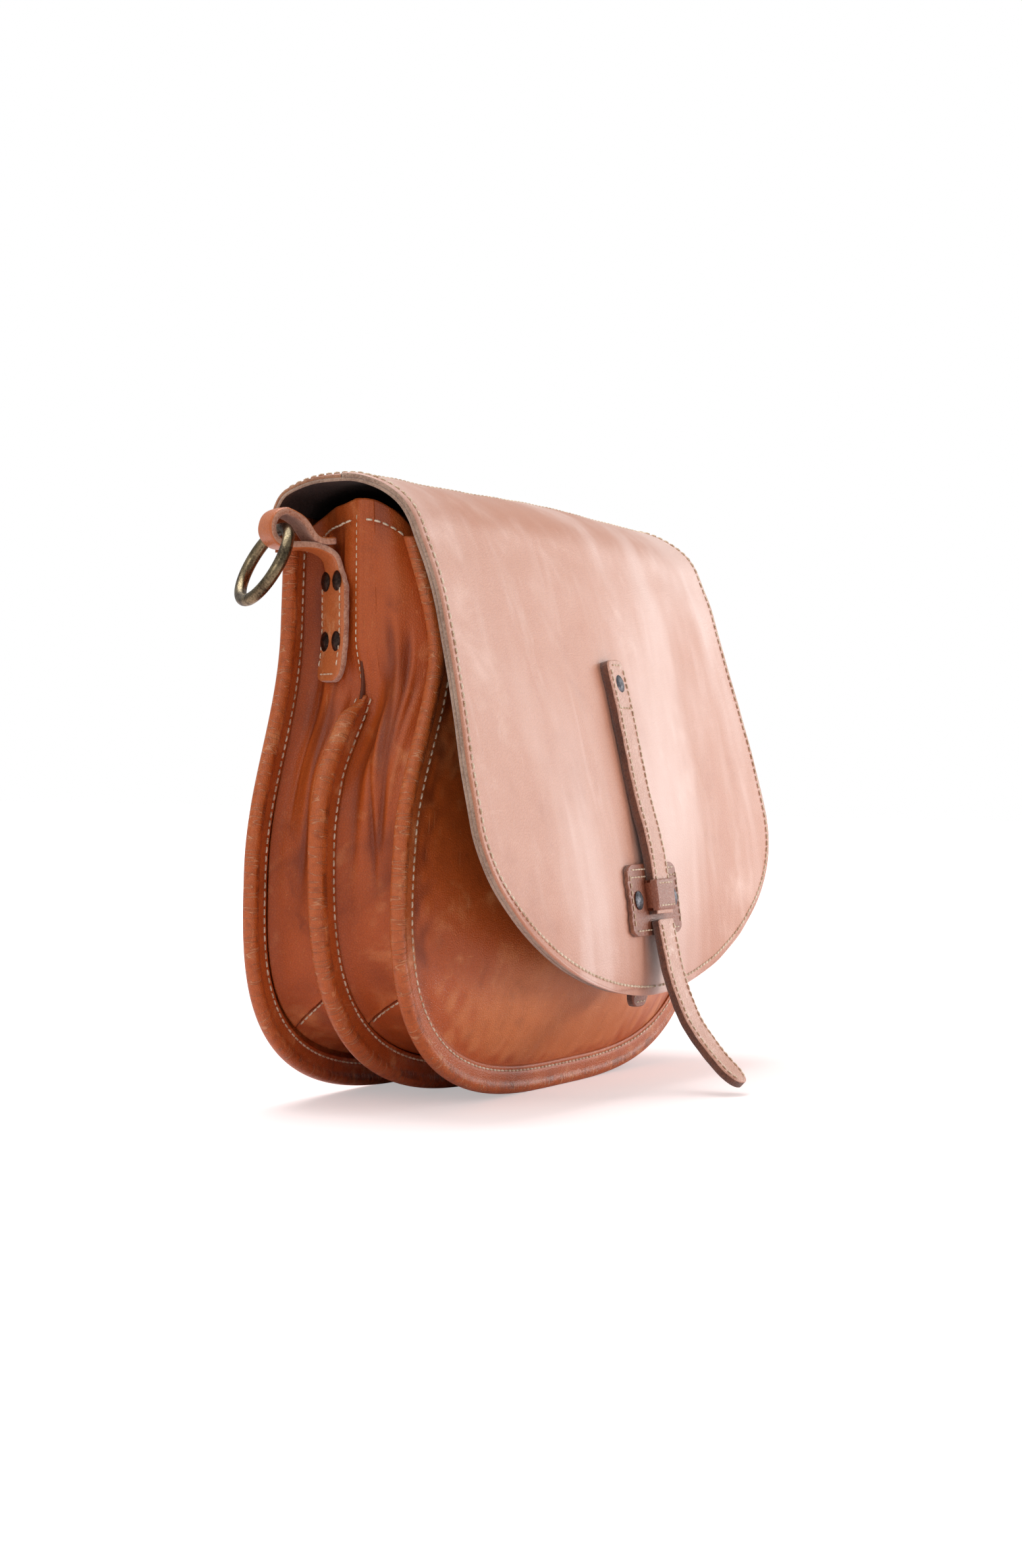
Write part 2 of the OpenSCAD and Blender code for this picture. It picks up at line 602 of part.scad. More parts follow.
// The tail hangs in a curve from the keeper to just above the floor
tail_axis_y = flap_y(tail_axis_z) - patch_t - strap_t / 2 - 2 * gap;
tail_shares = [[0, 1], [0.06, 0.86], [0.17, 0.63], [0.37, 0.38], [0.67, 0.17], [1, 0]];
tail_line = curve([for (q = tail_shares) [tail_axis_y - q[0] * tail_out, mix(tail_tip_z, tail_axis_z, q[1])]],
    flap_steps);
tip_r = strap_w / 2;
module strap_tail() {
    color(dark_cognac)
        union() {
            translate([0, tail_axis_y, tail_axis_z])
                rotate([0, 90, 0]) cylinder(d = strap_t, h = strap_w, center = true, $fn = round_fn);
            intersection() {
                across(strap_w)
                    polygon(concat(shifted(tail_line, -strap_t / 2), reversed(shifted(tail_line, strap_t / 2))));
                along() union() {
                    translate([-tip_r, tail_tip_z - strap_t + tip_r]) square([strap_w, tail_axis_z]);
                    translate([0, tail_tip_z - strap_t + tip_r]) circle(tip_r, $fn = round_fn);
                }
            }
        }
}

// The patch, its keeper and rivets
corner_r = 6;
// Thickness of the keeper's two legs
keeper_side = 1.2;
module rounded(w, h, r) {
    union() {
        translate([-w / 2 + r, 0]) square([w - 2 * r, h]);
        translate([-w / 2, r]) square([w, h - 2 * r]);
        for (x = [-1, 1], z = [r, h - r]) translate([x * (w / 2 - r), z]) circle(r, $fn = round_fn);
    }
}
wing_x = (patch_w + strap_w) / 4 + keeper_side;
wing_z = patch_z + patch_h / 2;
module strap_patch() {
    color(cognac)
        difference() {
            on_flap(0, patch_t) translate([0, patch_z]) rounded(patch_w, patch_h, corner_r);
            for (x = [-1, 1]) rivet_hole(wing_z, x * wing_x);
        }
}
module strap_keeper() {
    inner = strap_w + 2 * gap;
    color(cognac)
        translate([0, 0, patch_z + keeper_rise]) {
            difference() {
                translate([0, 0, -patch_z - keeper_rise])
                    on_flap(patch_t, patch_t + strap_t + gap + keeper_t)
                        translate([-inner / 2 - keeper_side, patch_z + keeper_rise])
                            square([inner + 2 * keeper_side, keeper_h]);
                translate([0, 0, -patch_z - keeper_rise])
                    on_flap(patch_t - over, patch_t + strap_t + gap)
                        translate([-inner / 2, patch_z + keeper_rise - over])
                            square([inner, keeper_h + 2 * over]);
            }
        }
}
module flap_rivet(x, z, base) {
    at_flap(x, z)
        union() {
            translate([0, 0, base]) cap(cap_d);
            translate([0, 0, 2 * gap]) cylinder(d = shank_d - 2 * fit, h = base - gap, $fn = round_fn);
        }
}
module strap_rivet() { color(gunmetal) flap_rivet(0, strap_rivet_z, strap_t + 2 * gap); }
module patch_rivets() {
    color(gunmetal) for (x = [-1, 1]) flap_rivet(x * wing_x, wing_z, patch_t + 2 * gap);
}

// The snap: a tab sewn to the front panel, with the two halves of the snap between it and the flap
snap_t = 1.1;
tab_t = 2 * leather_t;
tab_under = flap_t + flap_lining_t + 2 * snap_t + 6 * gap;
function swell_at(z) = mix(swell_peak[1], front_y(cheek_d(FRONT)) - rim_stack[FRONT] / 2,
    pow((swell_z - z) / (swell_z - cheek_d(FRONT)), swell_power));
sewn_h = 10;
tab_line = curve([
    [swell_at(tab_top_z) - tab_t / 2 - 2 * gap, tab_top_z],
    [swell_at(tab_top_z - sewn_h) - tab_t / 2 - 2 * gap, tab_top_z - sewn_h],
    [flap_y(snap_z) + tab_under + tab_t / 2, snap_z],
    [flap_y(flap_hem_z) + tab_under + tab_t / 2, tab_end_z]], 2 * flap_steps);
module snap_tab() {
    color(dark_cognac)
        intersection() {
            across(strap_w)
                polygon(concat(shifted(tab_line, -tab_t / 2), reversed(shifted(tab_line, tab_t / 2))));
            along() union() {
                translate([-strap_w / 2, tab_end_z + corner_r]) square([strap_w, tab_top_z]);
                translate([0, tab_end_z - over]) rounded(strap_w, strap_w, corner_r);
            }
        }
}
module snap_disc(from, t) {
    at_flap(0, snap_z) translate([0, 0, from]) cylinder(d = snap_d, h = t, $fn = round_fn);
}
module snap_post() { color(gunmetal) snap_disc(-flap_t - flap_lining_t - 2 * gap - snap_t, snap_t); }
module snap_socket() { color(gunmetal) snap_disc(-tab_under + 2 * gap, snap_t); }

// The anchors: a tab on the rear gusset's fold, with a loop round the ring
flank_share = [rear_place_shares[2], rear_place_shares[5]];
flank_y = [for (v = flank_share) mix(rear_y(shoulder_z) - rim_stack[REAR] / 2,
    middle_y(middle_top_z) + rim_stack[MIDDLE] / 2, v)];
flank_d = [for (i = [2, 5]) mix(ridge_depth, fold_depth, rear_neck_shares[i])];
flank = [flank_d[0] - flank_d[1], flank_y[0] - flank_y[1]];
flank_turn = atan2(flank[1], flank[0]);
// Place of the anchor's middle along the line through those two points
anchor_share = 0.8;
anchor_place = [mix(flank_d[0], flank_d[1], anchor_share) - neck_half_w, mix(flank_y[0], flank_y[1], anchor_share)];
module at_anchor(side) {
    mirror([side > 0 ? 1 : 0, 0, 0])
        translate([anchor_place[0], anchor_place[1], 0])
            rotate([0, 0, flank_turn]) children();
}
anchor_back = 0.8;
loop_r = loop_d / 2 + anchor_t / 2;
anchor_mid = anchor_back + anchor_t / 2;
bend_r = 12;
lower_leg = curve([[anchor_mid, loop_z - loop_r - bend_r - anchor_t], [anchor_mid, loop_z - loop_r - bend_r],
    [anchor_mid + bend_r / 4, loop_z - loop_r - bend_r / 3], [anchor_mid + bend_r, loop_z - loop_r],
    [loop_out, loop_z - loop_r]], flap_steps);
upper_leg = curve([[loop_out, loop_z + loop_r], [loop_out - loop_r, loop_z + loop_r / 2],
    [loop_out - 2 * loop_r, loop_z - loop_r + anchor_t + fit], [anchor_mid, loop_z - loop_r + anchor_t + fit]],
    flap_steps);
// The tab itself follows the shoulder, which stands further out lower down
function flare(z) = sin(flank_turn) * (max(neck_x(REAR, z), neck_x(MIDDLE, z)) - neck_half_w);
tab_leg = [for (q = steps(2 * flap_steps)) let (z = mix(anchor_z - over, loop_z - loop_r, q))
    [anchor_mid + flare(z), z]];
module leg(line) {
    polygon(concat(shifted(line, -anchor_t / 2), reversed(shifted(line, anchor_t / 2))));
}
hole_x = anchor_w / 4;
hole_z_shares = [0.3, 0.75];
hole_z = [for (q = hole_z_shares) mix(anchor_z, loop_z - loop_r, q)];
module anchor_strap() {
    difference() {
        union() {
            across(loop_w)
                difference() {
                    union() {
                        leg(lower_leg);
                        leg(upper_leg);
                        translate([loop_out, loop_z]) circle(loop_r + anchor_t / 2, $fn = round_fn);
                    }
                    translate([loop_out, loop_z]) circle(loop_d / 2, $fn = round_fn);
                }
            intersection() {
                across(anchor_w) leg(tab_leg);
                along() translate([0, anchor_z]) rounded(anchor_w, loop_z - loop_r - bend_r / 2 - anchor_z, corner_r);
            }
        }
        for (x = [-1, 1], z = hole_z)
            translate([x * hole_x, 0, z])
                rotate([-90, 0, 0]) cylinder(d = shank_d, h = 2 * anchor_t, $fn = round_fn);
    }
}
module anchor_caps() {
    for (x = [-1, 1], z = hole_z)
        translate([x * hole_x, anchor_back + flare(z), z])
            rotate([-90, 0, 0])
                union() {
                    cylinder(d = shank_d - 2 * fit, h = anchor_t + 3 * gap, $fn = round_fn);
                    translate([0, 0, anchor_t + 2 * gap]) cap(anchor_cap_d);
                }
}
module ring() {
    translate([0, loop_out, loop_z])
        rotate([ring_tilt, 0, 0])
            translate([0, 0, -(ring_d - wire_d) / 2])
                rotate([90, 0, 0])
                    rotate_extrude($fn = 2 * round_fn)
                        translate([(ring_d - wire_d) / 2, 0]) circle(d = wire_d, $fn = round_fn);
}
module anchor_left() { color(cognac) at_anchor(-1) anchor_strap(); }
module anchor_right() { color(cognac) at_anchor(1) anchor_strap(); }
module anchor_rivets_left() { color(gunmetal) at_anchor(-1) anchor_caps(); }
module anchor_rivets_right() { color(gunmetal) at_anchor(1) anchor_caps(); }
module ring_left() { color(antique_brass) at_anchor(-1) ring(); }
module ring_right() { color(antique_brass) at_anchor(1) ring(); }

back_panel();
divider_panel();
front_panel();
rear_gusset_left();
rear_gusset_bottom();
rear_gusset_right();
front_gusset_left();
front_gusset_bottom();
front_gusset_right();
rear_welt();
middle_welt();
front_welt();
rear_mouth_facing();
front_mouth_facing();
rear_lining();
front_lining();
back_yoke();
flap_yoke();
flap_panel();
flap_lining();
closure_strap();
strap_tail();
strap_patch();
strap_keeper();
strap_rivet();
patch_rivets();
snap_tab();
snap_socket();
snap_post();
anchor_left();
anchor_right();
anchor_rivets_left();
anchor_rivets_right();
ring_left();
ring_right();
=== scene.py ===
"""A saddle handbag in cognac leather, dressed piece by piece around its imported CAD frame."""

import math

import bmesh
import bpy
import numpy as np
from mathutils import Matrix


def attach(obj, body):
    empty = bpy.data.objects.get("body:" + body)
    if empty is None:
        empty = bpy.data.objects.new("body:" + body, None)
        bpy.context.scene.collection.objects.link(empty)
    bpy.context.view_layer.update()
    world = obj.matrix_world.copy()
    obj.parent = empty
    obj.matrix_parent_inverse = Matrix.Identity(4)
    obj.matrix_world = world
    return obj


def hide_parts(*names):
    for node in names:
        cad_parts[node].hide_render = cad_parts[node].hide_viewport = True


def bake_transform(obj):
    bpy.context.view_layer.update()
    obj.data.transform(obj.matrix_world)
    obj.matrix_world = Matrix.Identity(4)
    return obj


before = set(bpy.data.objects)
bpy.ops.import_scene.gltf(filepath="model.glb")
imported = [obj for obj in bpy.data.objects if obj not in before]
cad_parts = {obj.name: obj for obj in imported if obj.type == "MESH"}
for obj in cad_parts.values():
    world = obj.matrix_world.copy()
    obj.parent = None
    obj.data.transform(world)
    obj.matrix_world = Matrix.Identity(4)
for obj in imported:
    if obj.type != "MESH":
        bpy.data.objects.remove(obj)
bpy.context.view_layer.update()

# Camera. A long lens stands low in front of the bag's left end, nearly level with its middle, so
# the three welts show on the left and the flap runs away to the right.
photo_h = 2380
camera_turn, camera_rise = math.radians(-63.817), math.radians(1.775)
camera_roll = math.radians(0.57)
camera_distance, camera_focus, camera_aim_z = 1.44987, 4447.9, 0.11681
camera_shift = (-26.45, 90.88)
sensor_mm = 36
look = np.array([-math.sin(camera_turn) * math.cos(camera_rise),
                 math.cos(camera_turn) * math.cos(camera_rise), -math.sin(camera_rise)])
level_right = np.cross(look, [0, 0, 1])
level_right /= np.linalg.norm(level_right)
level_up = np.cross(level_right, look)
camera_right = level_right * math.cos(camera_roll) + level_up * math.sin(camera_roll)
camera_up = level_up * math.cos(camera_roll) - level_right * math.sin(camera_roll)
camera_data = bpy.data.cameras.new("camera")
camera = bpy.data.objects.new("camera", camera_data)
bpy.context.collection.objects.link(camera)
camera_place = np.array([0, 0, camera_aim_z]) - look * camera_distance


def placed_matrix(right, up, back, place):
    """The matrix of an object with these three unit axes that stands at a place."""
    return Matrix([[right[i], up[i], back[i], place[i]] for i in range(3)] + [[0, 0, 0, 1]])


camera.matrix_world = placed_matrix(camera_right, camera_up, -look, camera_place)
camera_data.sensor_fit = "VERTICAL"
camera_data.sensor_height = sensor_mm
camera_data.lens = camera_focus * sensor_mm / photo_h
camera_data.shift_x = -camera_shift[0] / photo_h
camera_data.shift_y = camera_shift[1] / photo_h
camera_data.clip_start = 0.05
bpy.context.scene.camera = camera
bpy.context.scene.view_settings.view_transform = "Standard"

# Floor and light. The bag stands on a table that fades to white away from it. A large lamp above gives
# most of the light, one in front on the right and one on the left fill the sides, and a small low one
# lights the belly. The room is dim for the bag and white for the camera.


def node_tree(name, kind="material"):
    """A new material or world with an empty node tree; gives both."""
    owner = bpy.data.materials.new(name) if kind == "material" else bpy.data.worlds.new(name)
    owner.use_nodes = True
    owner.node_tree.nodes.clear()
    return owner, owner.node_tree


def add(tree, kind, links=(), **values):
    """Adds a node, sets its properties, fills its inputs from numbers, and links (input, socket) pairs."""
    node = tree.nodes.new(kind)
    for key, value in values.items():
        setattr(node, key, value)
    for key, value in dict(links).items():
        if isinstance(value, bpy.types.NodeSocket):
            tree.links.new(value, node.inputs[key])
        else:
            node.inputs[key].default_value = value
    return node


def coordinates(tree):
    """The place of a shaded point in its object's own coordinates."""
    return add(tree, "ShaderNodeTexCoord").outputs["Object"]


def surface_out(tree, shader):
    """Makes the output of a node the surface of its material."""
    add(tree, "ShaderNodeOutputMaterial", {"Surface": shader.outputs[0]})


room, tree = node_tree("white_room", "world")
bpy.context.scene.world = room
path = add(tree, "ShaderNodeLightPath")
seen = add(tree, "ShaderNodeMath", {0: path.outputs["Is Camera Ray"], 1: path.outputs["Is Transmission Ray"]},
           operation="MAXIMUM")
room_light = 0.42
lit = add(tree, "ShaderNodeBackground", {"Color": (1, 0.985, 0.97, 1), "Strength": room_light})
white = add(tree, "ShaderNodeBackground", {"Color": (1, 1, 1, 1), "Strength": 1.0})
room_mix = add(tree, "ShaderNodeMixShader", {0: seen.outputs[0], 1: lit.outputs[0], 2: white.outputs[0]})
add(tree, "ShaderNodeOutputWorld", {"Surface": room_mix.outputs[0]})

table_white, tree = node_tree("table_white")
path = add(tree, "ShaderNodeLightPath")
table_skin = add(tree, "ShaderNodeBsdfDiffuse", {"Color": (0.94, 0.83, 0.83, 1)})
fade_start, fade_end, near_glow, far_glow = 0.35, 1.1, 0.42, 1.1
away = add(tree, "ShaderNodeVectorMath", {0: coordinates(tree)}, operation="LENGTH").outputs["Value"]
reach = add(tree, "ShaderNodeMapRange", {0: away, 1: fade_start, 2: fade_end, 3: near_glow, 4: far_glow},
            interpolation_type="SMOOTHSTEP")
glow = add(tree, "ShaderNodeEmission", {"Color": (1, 0.97, 0.97, 1), "Strength": reach.outputs[0]})
table_sum = add(tree, "ShaderNodeAddShader", {0: table_skin.outputs[0], 1: glow.outputs[0]})
table_mix = add(tree, "ShaderNodeMixShader", {0: path.outputs["Is Camera Ray"], 1: table_skin.outputs[0],
                                              2: table_sum.outputs[0]})
surface_out(tree, table_mix)
table_mesh = bpy.data.meshes.new("table_top")
table_reach = 6.0
table_corners = [(x * table_reach, y * table_reach, 0) for x, y in ((-1, -1), (1, -1), (1, 1), (-1, 1))]
table_mesh.from_pydata(table_corners, [], [(0, 1, 2, 3)])
table_mesh.materials.append(table_white)
table_top = bpy.data.objects.new("table_top", table_mesh)
bpy.context.collection.objects.link(table_top)


def lamp(name, place, aim, size, power, tint):
    """A square area lamp of the given size in metres at a place, turned to its aim."""
    light = bpy.data.lights.new(name, "AREA")
    light.size = size
    light.energy = power
    light.color = tint
    holder = bpy.data.objects.new(name, light)
    bpy.context.collection.objects.link(holder)
    back = np.array(place, float) - np.array(aim, float)
    back /= np.linalg.norm(back)
    across = np.cross([0, 0, 1], back)
    across /= np.linalg.norm(across)
    up = np.cross(back, across)
    holder.matrix_world = placed_matrix(across, up, back, place)


lamp("front_lamp", (1.9, -1.0, 0.75), (0, -0.05, 0.15), 1.2, 11, (1, 0.99, 0.98))
lamp("left_lamp", (-1.5, 0.1, 0.9), (0, 0, 0.12), 1.0, 3.5, (1, 0.96, 0.93))
lamp("top_lamp", (0.1, 0.4, 1.7), (0, 0, 0.2), 1.4, 20, (1, 1, 1))
lamp("low_lamp", (0.9, -1.3, 0.14), (0, -0.07, 0.04), 0.5, 10, (1, 0.97, 0.95))

# Back panel. One flat sheet of cognac leather closes the rear compartment. It is cut to the rear
# rim, leans a little forward at the mouth, and its edge lies hidden in the rear welt.
LEATHER = 1.8
REAR, MIDDLE, FRONT = 0, 1, 2
rim_half_w = (179, 180, 177)
widest_z, lobe_power = 117, 3
rim_lobe_z = (widest_z * 0.93, widest_z, widest_z * 1.06)
rim_power = (lobe_power * 1.02, lobe_power * 0.94, lobe_power * 1.02)
rim_top_z = (260, 271, 257)
neck_half_w, shoulder_z, lobe_share = 154, 217, 0.6
rear_gap, front_gap, rear_lean, middle_draw, front_bow = 37, 37, 8, 7.5, 9
DIVIDER, sewn_gap = 1.2, 0.3
rim_stack = (2 * LEATHER + 2 * sewn_gap, 2 * LEATHER + DIVIDER + 4 * sewn_gap, 2 * LEATHER + 3 * sewn_gap)
cheek_t, cheek_h, bead_proud, foot_sink = 1.4, 5, 0.5, 0.5
bead_r = [h / 2 + cheek_t + bead_proud for h in rim_stack]
edge_d = [2 * r - bead_proud for r in bead_r]
cheek_d = [d + cheek_h for d in edge_d]
sewn_d = [d + sewn_gap for d in edge_d]
MM = 0.001


def smooth(t):
    """The smooth step 3t^2 - 2t^3, held at 0 below 0 and at 1 above 1."""
    t = np.clip(t, 0, 1)
    return t * t * (3 - 2 * t)


def mix(a, b, t):
    """The value at a share t of the way from a to b."""
    return a + (b - a) * t


def lengths(line):
    """The length run through at each point of a line, from 0 at its first."""
    return np.concatenate([[0], np.cumsum(np.linalg.norm(np.diff(line, axis=0), axis=1))])


def rim_outline(rim, share, top):
    """Half width and height of a rim at a share of its half: below, a quarter of a superellipse, and
    above it half a cosine wave that narrows to the neck."""
    turn = np.clip(share / lobe_share, 0, 1) * math.pi / 2
    half, lobe, power = rim_half_w[rim], rim_lobe_z[rim], rim_power[rim]
    low_z = lobe * (1 - np.clip(np.cos(turn), 0, 1) ** (2 / power))
    z = np.where(share < lobe_share, low_z, mix(lobe, top, (share - lobe_share) / (1 - lobe_share)))
    fall = np.clip((z - lobe) / (shoulder_z - lobe), 0, 1)
    neck = mix(neck_half_w, half, (1 + np.cos(math.pi * fall)) / 2)
    return np.where(share < lobe_share, half * np.sin(turn) ** (2 / power), neck), z


def seam_plane(rim, z):
    """Y of a rim's seam at a height: the rear one leans, the middle one draws forward at the neck, and
    the front one bows forward below the mouth on a sine."""
    if rim == REAR:
        return rear_gap - rear_lean * z / rim_top_z[REAR]
    if rim == MIDDLE:
        return -middle_draw * smooth((z / shoulder_z - 0.68) / 0.22)
    bow = front_bow * np.sin(math.pi * np.clip(z / rim_top_z[MIDDLE], 0, 1) ** 2.5)
    start = 0.9 * shoulder_z
    return -front_gap - bow + front_bow * smooth((z - start) / (rim_top_z[MIDDLE] - start))


def rim_point(rim, share, depth, y, top):
    """The point at a signed share of the rim, a depth below its outline and y behind its seam plane: the
    outline's point moved along its inward normal, as (..., 3) in millimetres."""
    share, depth, y = np.broadcast_arrays(np.asarray(share, float), depth, y)
    size, step = abs(share), 0.004
    x, z = rim_outline(rim, size, top)
    x0, z0 = rim_outline(rim, np.maximum(size - step, 0), top)
    x1, z1 = rim_outline(rim, np.minimum(size + step, 1), top)
    long = np.hypot(x1 - x0, z1 - z0)
    dx, dz = (x1 - x0) / long, (z1 - z0) / long
    dx, dz = np.where(size < step, 1, dx), np.where(size < step, 0, dz)
    z = z + depth * dx
    return np.stack([np.where(share < 0, -1, 1) * (x - depth * dz), seam_plane(rim, z) + y,
                     np.maximum(z, 0)], -1)


def ripple(points, size, seed, waves=7):
    """A calm random field from -1 to 1: the mean of sine waves in random directions, about size
    millimetres from crest to crest."""
    chance = np.random.default_rng(seed)
    way = chance.normal(size=(waves, 3))
    way /= np.linalg.norm(way, axis=1)[:, None]
    pace = 2 * math.pi / size * chance.uniform(0.7, 1.4, waves)
    return np.sin(points @ (way * pace[:, None]).T + chance.uniform(0, 2 * math.pi, waves)).mean(-1) * 1.6


def rippled(grid, size, seed, waves=7):
    """The ripple field read at every point of a grid."""
    return ripple(grid.reshape(-1, 3), size, seed, waves).reshape(grid.shape[:2])


def grid_faces(rows, columns, wrap=False):
    """The four-cornered faces between the points of a grid counted row by row; wrap joins the last
    column to the first."""
    i, j = np.meshgrid(np.arange(rows - 1), np.arange(columns if wrap else columns - 1), indexing="ij")
    k, low, high = (j + 1) % columns, i * columns, (i + 1) * columns
    return np.stack([low + j, low + k, high + k, high + j], -1).reshape(-1, 4)


def both_sides(values):
    """The values of a mark for the two sides of a shell."""
    return np.concatenate([values.ravel(), values.ravel()])


def make_piece(name, points, faces, materials, body, nodes=(), face_material=None, marks=None):
    """Turns millimetre points and faces into a smooth closed piece on a body. Doubled points are merged,
    the faces turn outward, and marks become point attributes that the materials read."""
    mesh = bpy.data.meshes.new(name)
    mesh.from_pydata((np.asarray(points, float).reshape(-1, 3) * MM).tolist(), [],
                     faces.tolist() if isinstance(faces, np.ndarray) else faces)
    for material in materials:
        mesh.materials.append(material)
    if face_material is not None:
        mesh.polygons.foreach_set("material_index", np.asarray(face_material, np.int32))
    for key, value in (marks or {}).items():
        attribute = mesh.attributes.new(key, "FLOAT", "POINT")
        attribute.data.foreach_set("value", np.asarray(value, np.float32).ravel())
    work = bmesh.new()
    work.from_mesh(mesh)
    bmesh.ops.remove_doubles(work, verts=work.verts, dist=1e-6)
    bmesh.ops.dissolve_degenerate(work, edges=work.edges, dist=1e-7)
    bmesh.ops.recalc_face_normals(work, faces=work.faces)
    work.to_mesh(mesh)
    work.free()
    mesh.shade_smooth()
    piece = bpy.data.objects.new(name, mesh)
    bpy.context.collection.objects.link(piece)
    if body:
        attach(piece, body)
    if nodes:
        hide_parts(*nodes)
    return piece


def shell(outer, inner):
    """Points and faces of a closed leaf between two equal grids: both sides and the strip round them."""
    rows, columns = outer.shape[:2]
    far = grid_faces(rows, columns)
    count = rows * columns
    index = np.arange(count).reshape(rows, columns)
    border = np.concatenate([index[0, :-1], index[:-1, -1], index[-1, :0:-1], index[:0:-1, 0]])
    after = np.roll(border, -1)
    strip = np.stack([border, border + count, after + count, after], -1)
    return (np.concatenate([outer.reshape(-1, 3), inner.reshape(-1, 3)]),
            np.concatenate([far, far[:, ::-1] + count, strip]), len(far), len(strip))


def rgb(red, green, blue):
    """A colour given as it shows on a screen, 0 to 255, turned into linear light by the sRGB curve."""
    share = np.array([red, green, blue]) / 255
    return tuple(np.where(share < 0.04045, share / 12.92, ((share + 0.055) / 1.055) ** 2.4)) + (1,)


def effect(name, takes, gives):
    """A shader node group with named inputs (type, value) and outputs, and its two end nodes."""
    group = bpy.data.node_groups.new(name, "ShaderNodeTree")
    for key, (kind, value) in takes.items():
        socket = group.interface.new_socket(key, in_out="INPUT", socket_type="NodeSocket" + kind)
        if kind != "Vector":
            socket.default_value = value
    for key, kind in gives.items():
        group.interface.new_socket(key, in_out="OUTPUT", socket_type="NodeSocket" + kind)
    return group, group.nodes.new("NodeGroupInput"), group.nodes.new("NodeGroupOutput")


def blended(tree, factor, low, high, way="MIX"):
    """A colour mix; each side is a socket or a colour."""
    node = tree.nodes.new("ShaderNodeMix")
    node.data_type, node.blend_type = "RGBA", way
    for slot, value in ((0, factor), (6, low), (7, high)):
        if isinstance(value, bpy.types.NodeSocket):
            tree.links.new(value, node.inputs[slot])
        else:
            node.inputs[slot].default_value = value
    return node.outputs[2]


def maths(tree, way, first, second=0.0, third=0.0):
    """One sum of the named kind on sockets or numbers."""
    return add(tree, "ShaderNodeMath", {0: first, 1: second, 2: third}, operation=way).outputs[0]


def times(tree, first, second):
    """The product of two sockets or numbers."""
    return maths(tree, "MULTIPLY", first, second)


def plus(tree, first, second):
    """The sum of two sockets or numbers."""
    return maths(tree, "ADD", first, second)


def ranged(tree, value, low, high, out_low=0.0, out_high=1.0):
    """Maps a value from low..high to out_low..out_high, held at both ends, on a smooth step."""
    return add(tree, "ShaderNodeMapRange", {0: value, 1: low, 2: high, 3: out_low, 4: out_high},
               interpolation_type="SMOOTHSTEP").outputs[0]


def noise(tree, place, scale, detail=3.0, rough=0.55, bend=0.0):
    """A noise from 0 to 1 whose grain is one over scale metres."""
    return add(tree, "ShaderNodeTexNoise", {"Vector": place, "Scale": scale, "Detail": detail,
                                            "Roughness": rough, "Distortion": bend}).outputs["Fac"]


def mark(tree, name):
    """The value of a point attribute that the piece carries."""
    return add(tree, "ShaderNodeAttribute", attribute_name=name).outputs["Fac"]


def principled(tree, colour, rough, height, bump_depth, bump_strength=1.0, **inputs):
    """The material's surface: a principled shader with a bump, and more inputs by their names with
    underscores for spaces."""
    bump = add(tree, "ShaderNodeBump", {"Height": height, "Distance": bump_depth, "Strength": bump_strength})
    values = {"Base Color": colour, "Roughness": rough, "Normal": bump.outputs[0]}
    values.update({key.replace("_", " "): value for key, value in inputs.items()})
    surface_out(tree, add(tree, "ShaderNodeBsdfPrincipled", values))


# The hide effect: pull-up leather is waxed, so it pales where it bends, and a mark on the points also paints
# shade into folds and hollows and a highlight on the front's belly. Clouds of tone lie over fine pores, soft
# creases and short pale scratches.
hide, taken, given = effect("hide", {
    "Place": ("Vector", None), "Dark": ("Color", (0, 0, 0, 1)), "Middle": ("Color", (0, 0, 0, 1)),
    "Light": ("Color", (0, 0, 0, 1)), "Cloud": ("Float", 18.0), "Pore": ("Float", 900.0),
    "Scratches": ("Float", 0.5), "Gloss": ("Float", 0.4)},
    {"Color": "Color", "Roughness": "Float", "Height": "Float"})
place = taken.outputs["Place"]
cloud = noise(hide, place, taken.outputs["Cloud"], 4, 0.6, 0.6)
patch = noise(hide, place, times(hide, taken.outputs["Cloud"], 4.3), 3, 0.6, 0.4)
tone = plus(hide, times(hide, cloud, 0.55), times(hide, patch, 0.45))
body_tone = blended(hide, ranged(hide, tone, 0.2, 0.47), taken.outputs["Dark"], taken.outputs["Middle"])
body_tone = blended(hide, ranged(hide, tone, 0.52, 0.72), body_tone, taken.outputs["Light"])
pores = add(hide, "ShaderNodeTexVoronoi", {"Vector": place, "Scale": taken.outputs["Pore"],
                                           "Randomness": 1.0}, feature="DISTANCE_TO_EDGE").outputs["Distance"]
pore_walls = ranged(hide, pores, 0.0, 0.25)
# Short pale scratches: a fine noise, drawn out along two slants and cut to its thin crests
lines = []
for turn, stretch in (((0.0, 0.7, 0.2), (1.0, 1.0, 0.1)), ((0.3, -0.5, 0.0), (0.12, 1.0, 1.0))):
    slant = add(hide, "ShaderNodeMapping", {"Vector": place, "Rotation": turn, "Scale": stretch}).outputs[0]
    lines.append(ranged(hide, noise(hide, slant, 480.0, 2, 0.5, 0.3), 0.66, 0.74))
where = ranged(hide, noise(hide, place, 34.0, 2), 0.44, 0.62)
scratch = times(hide, times(hide, maths(hide, "MAXIMUM", *lines), where), taken.outputs["Scratches"])
# Rubbed places: fine specks inside large patches
rub = times(hide, ranged(hide, noise(hide, place, 260.0, 5, 0.8, 0.6), 0.5, 0.72),
            ranged(hide, noise(hide, place, 24.0, 3), 0.42, 0.68))
rub = times(hide, rub, taken.outputs["Scratches"])
pale = maths(hide, "MINIMUM", plus(hide, times(hide, scratch, 0.5), times(hide, rub, 0.34)), 0.6)
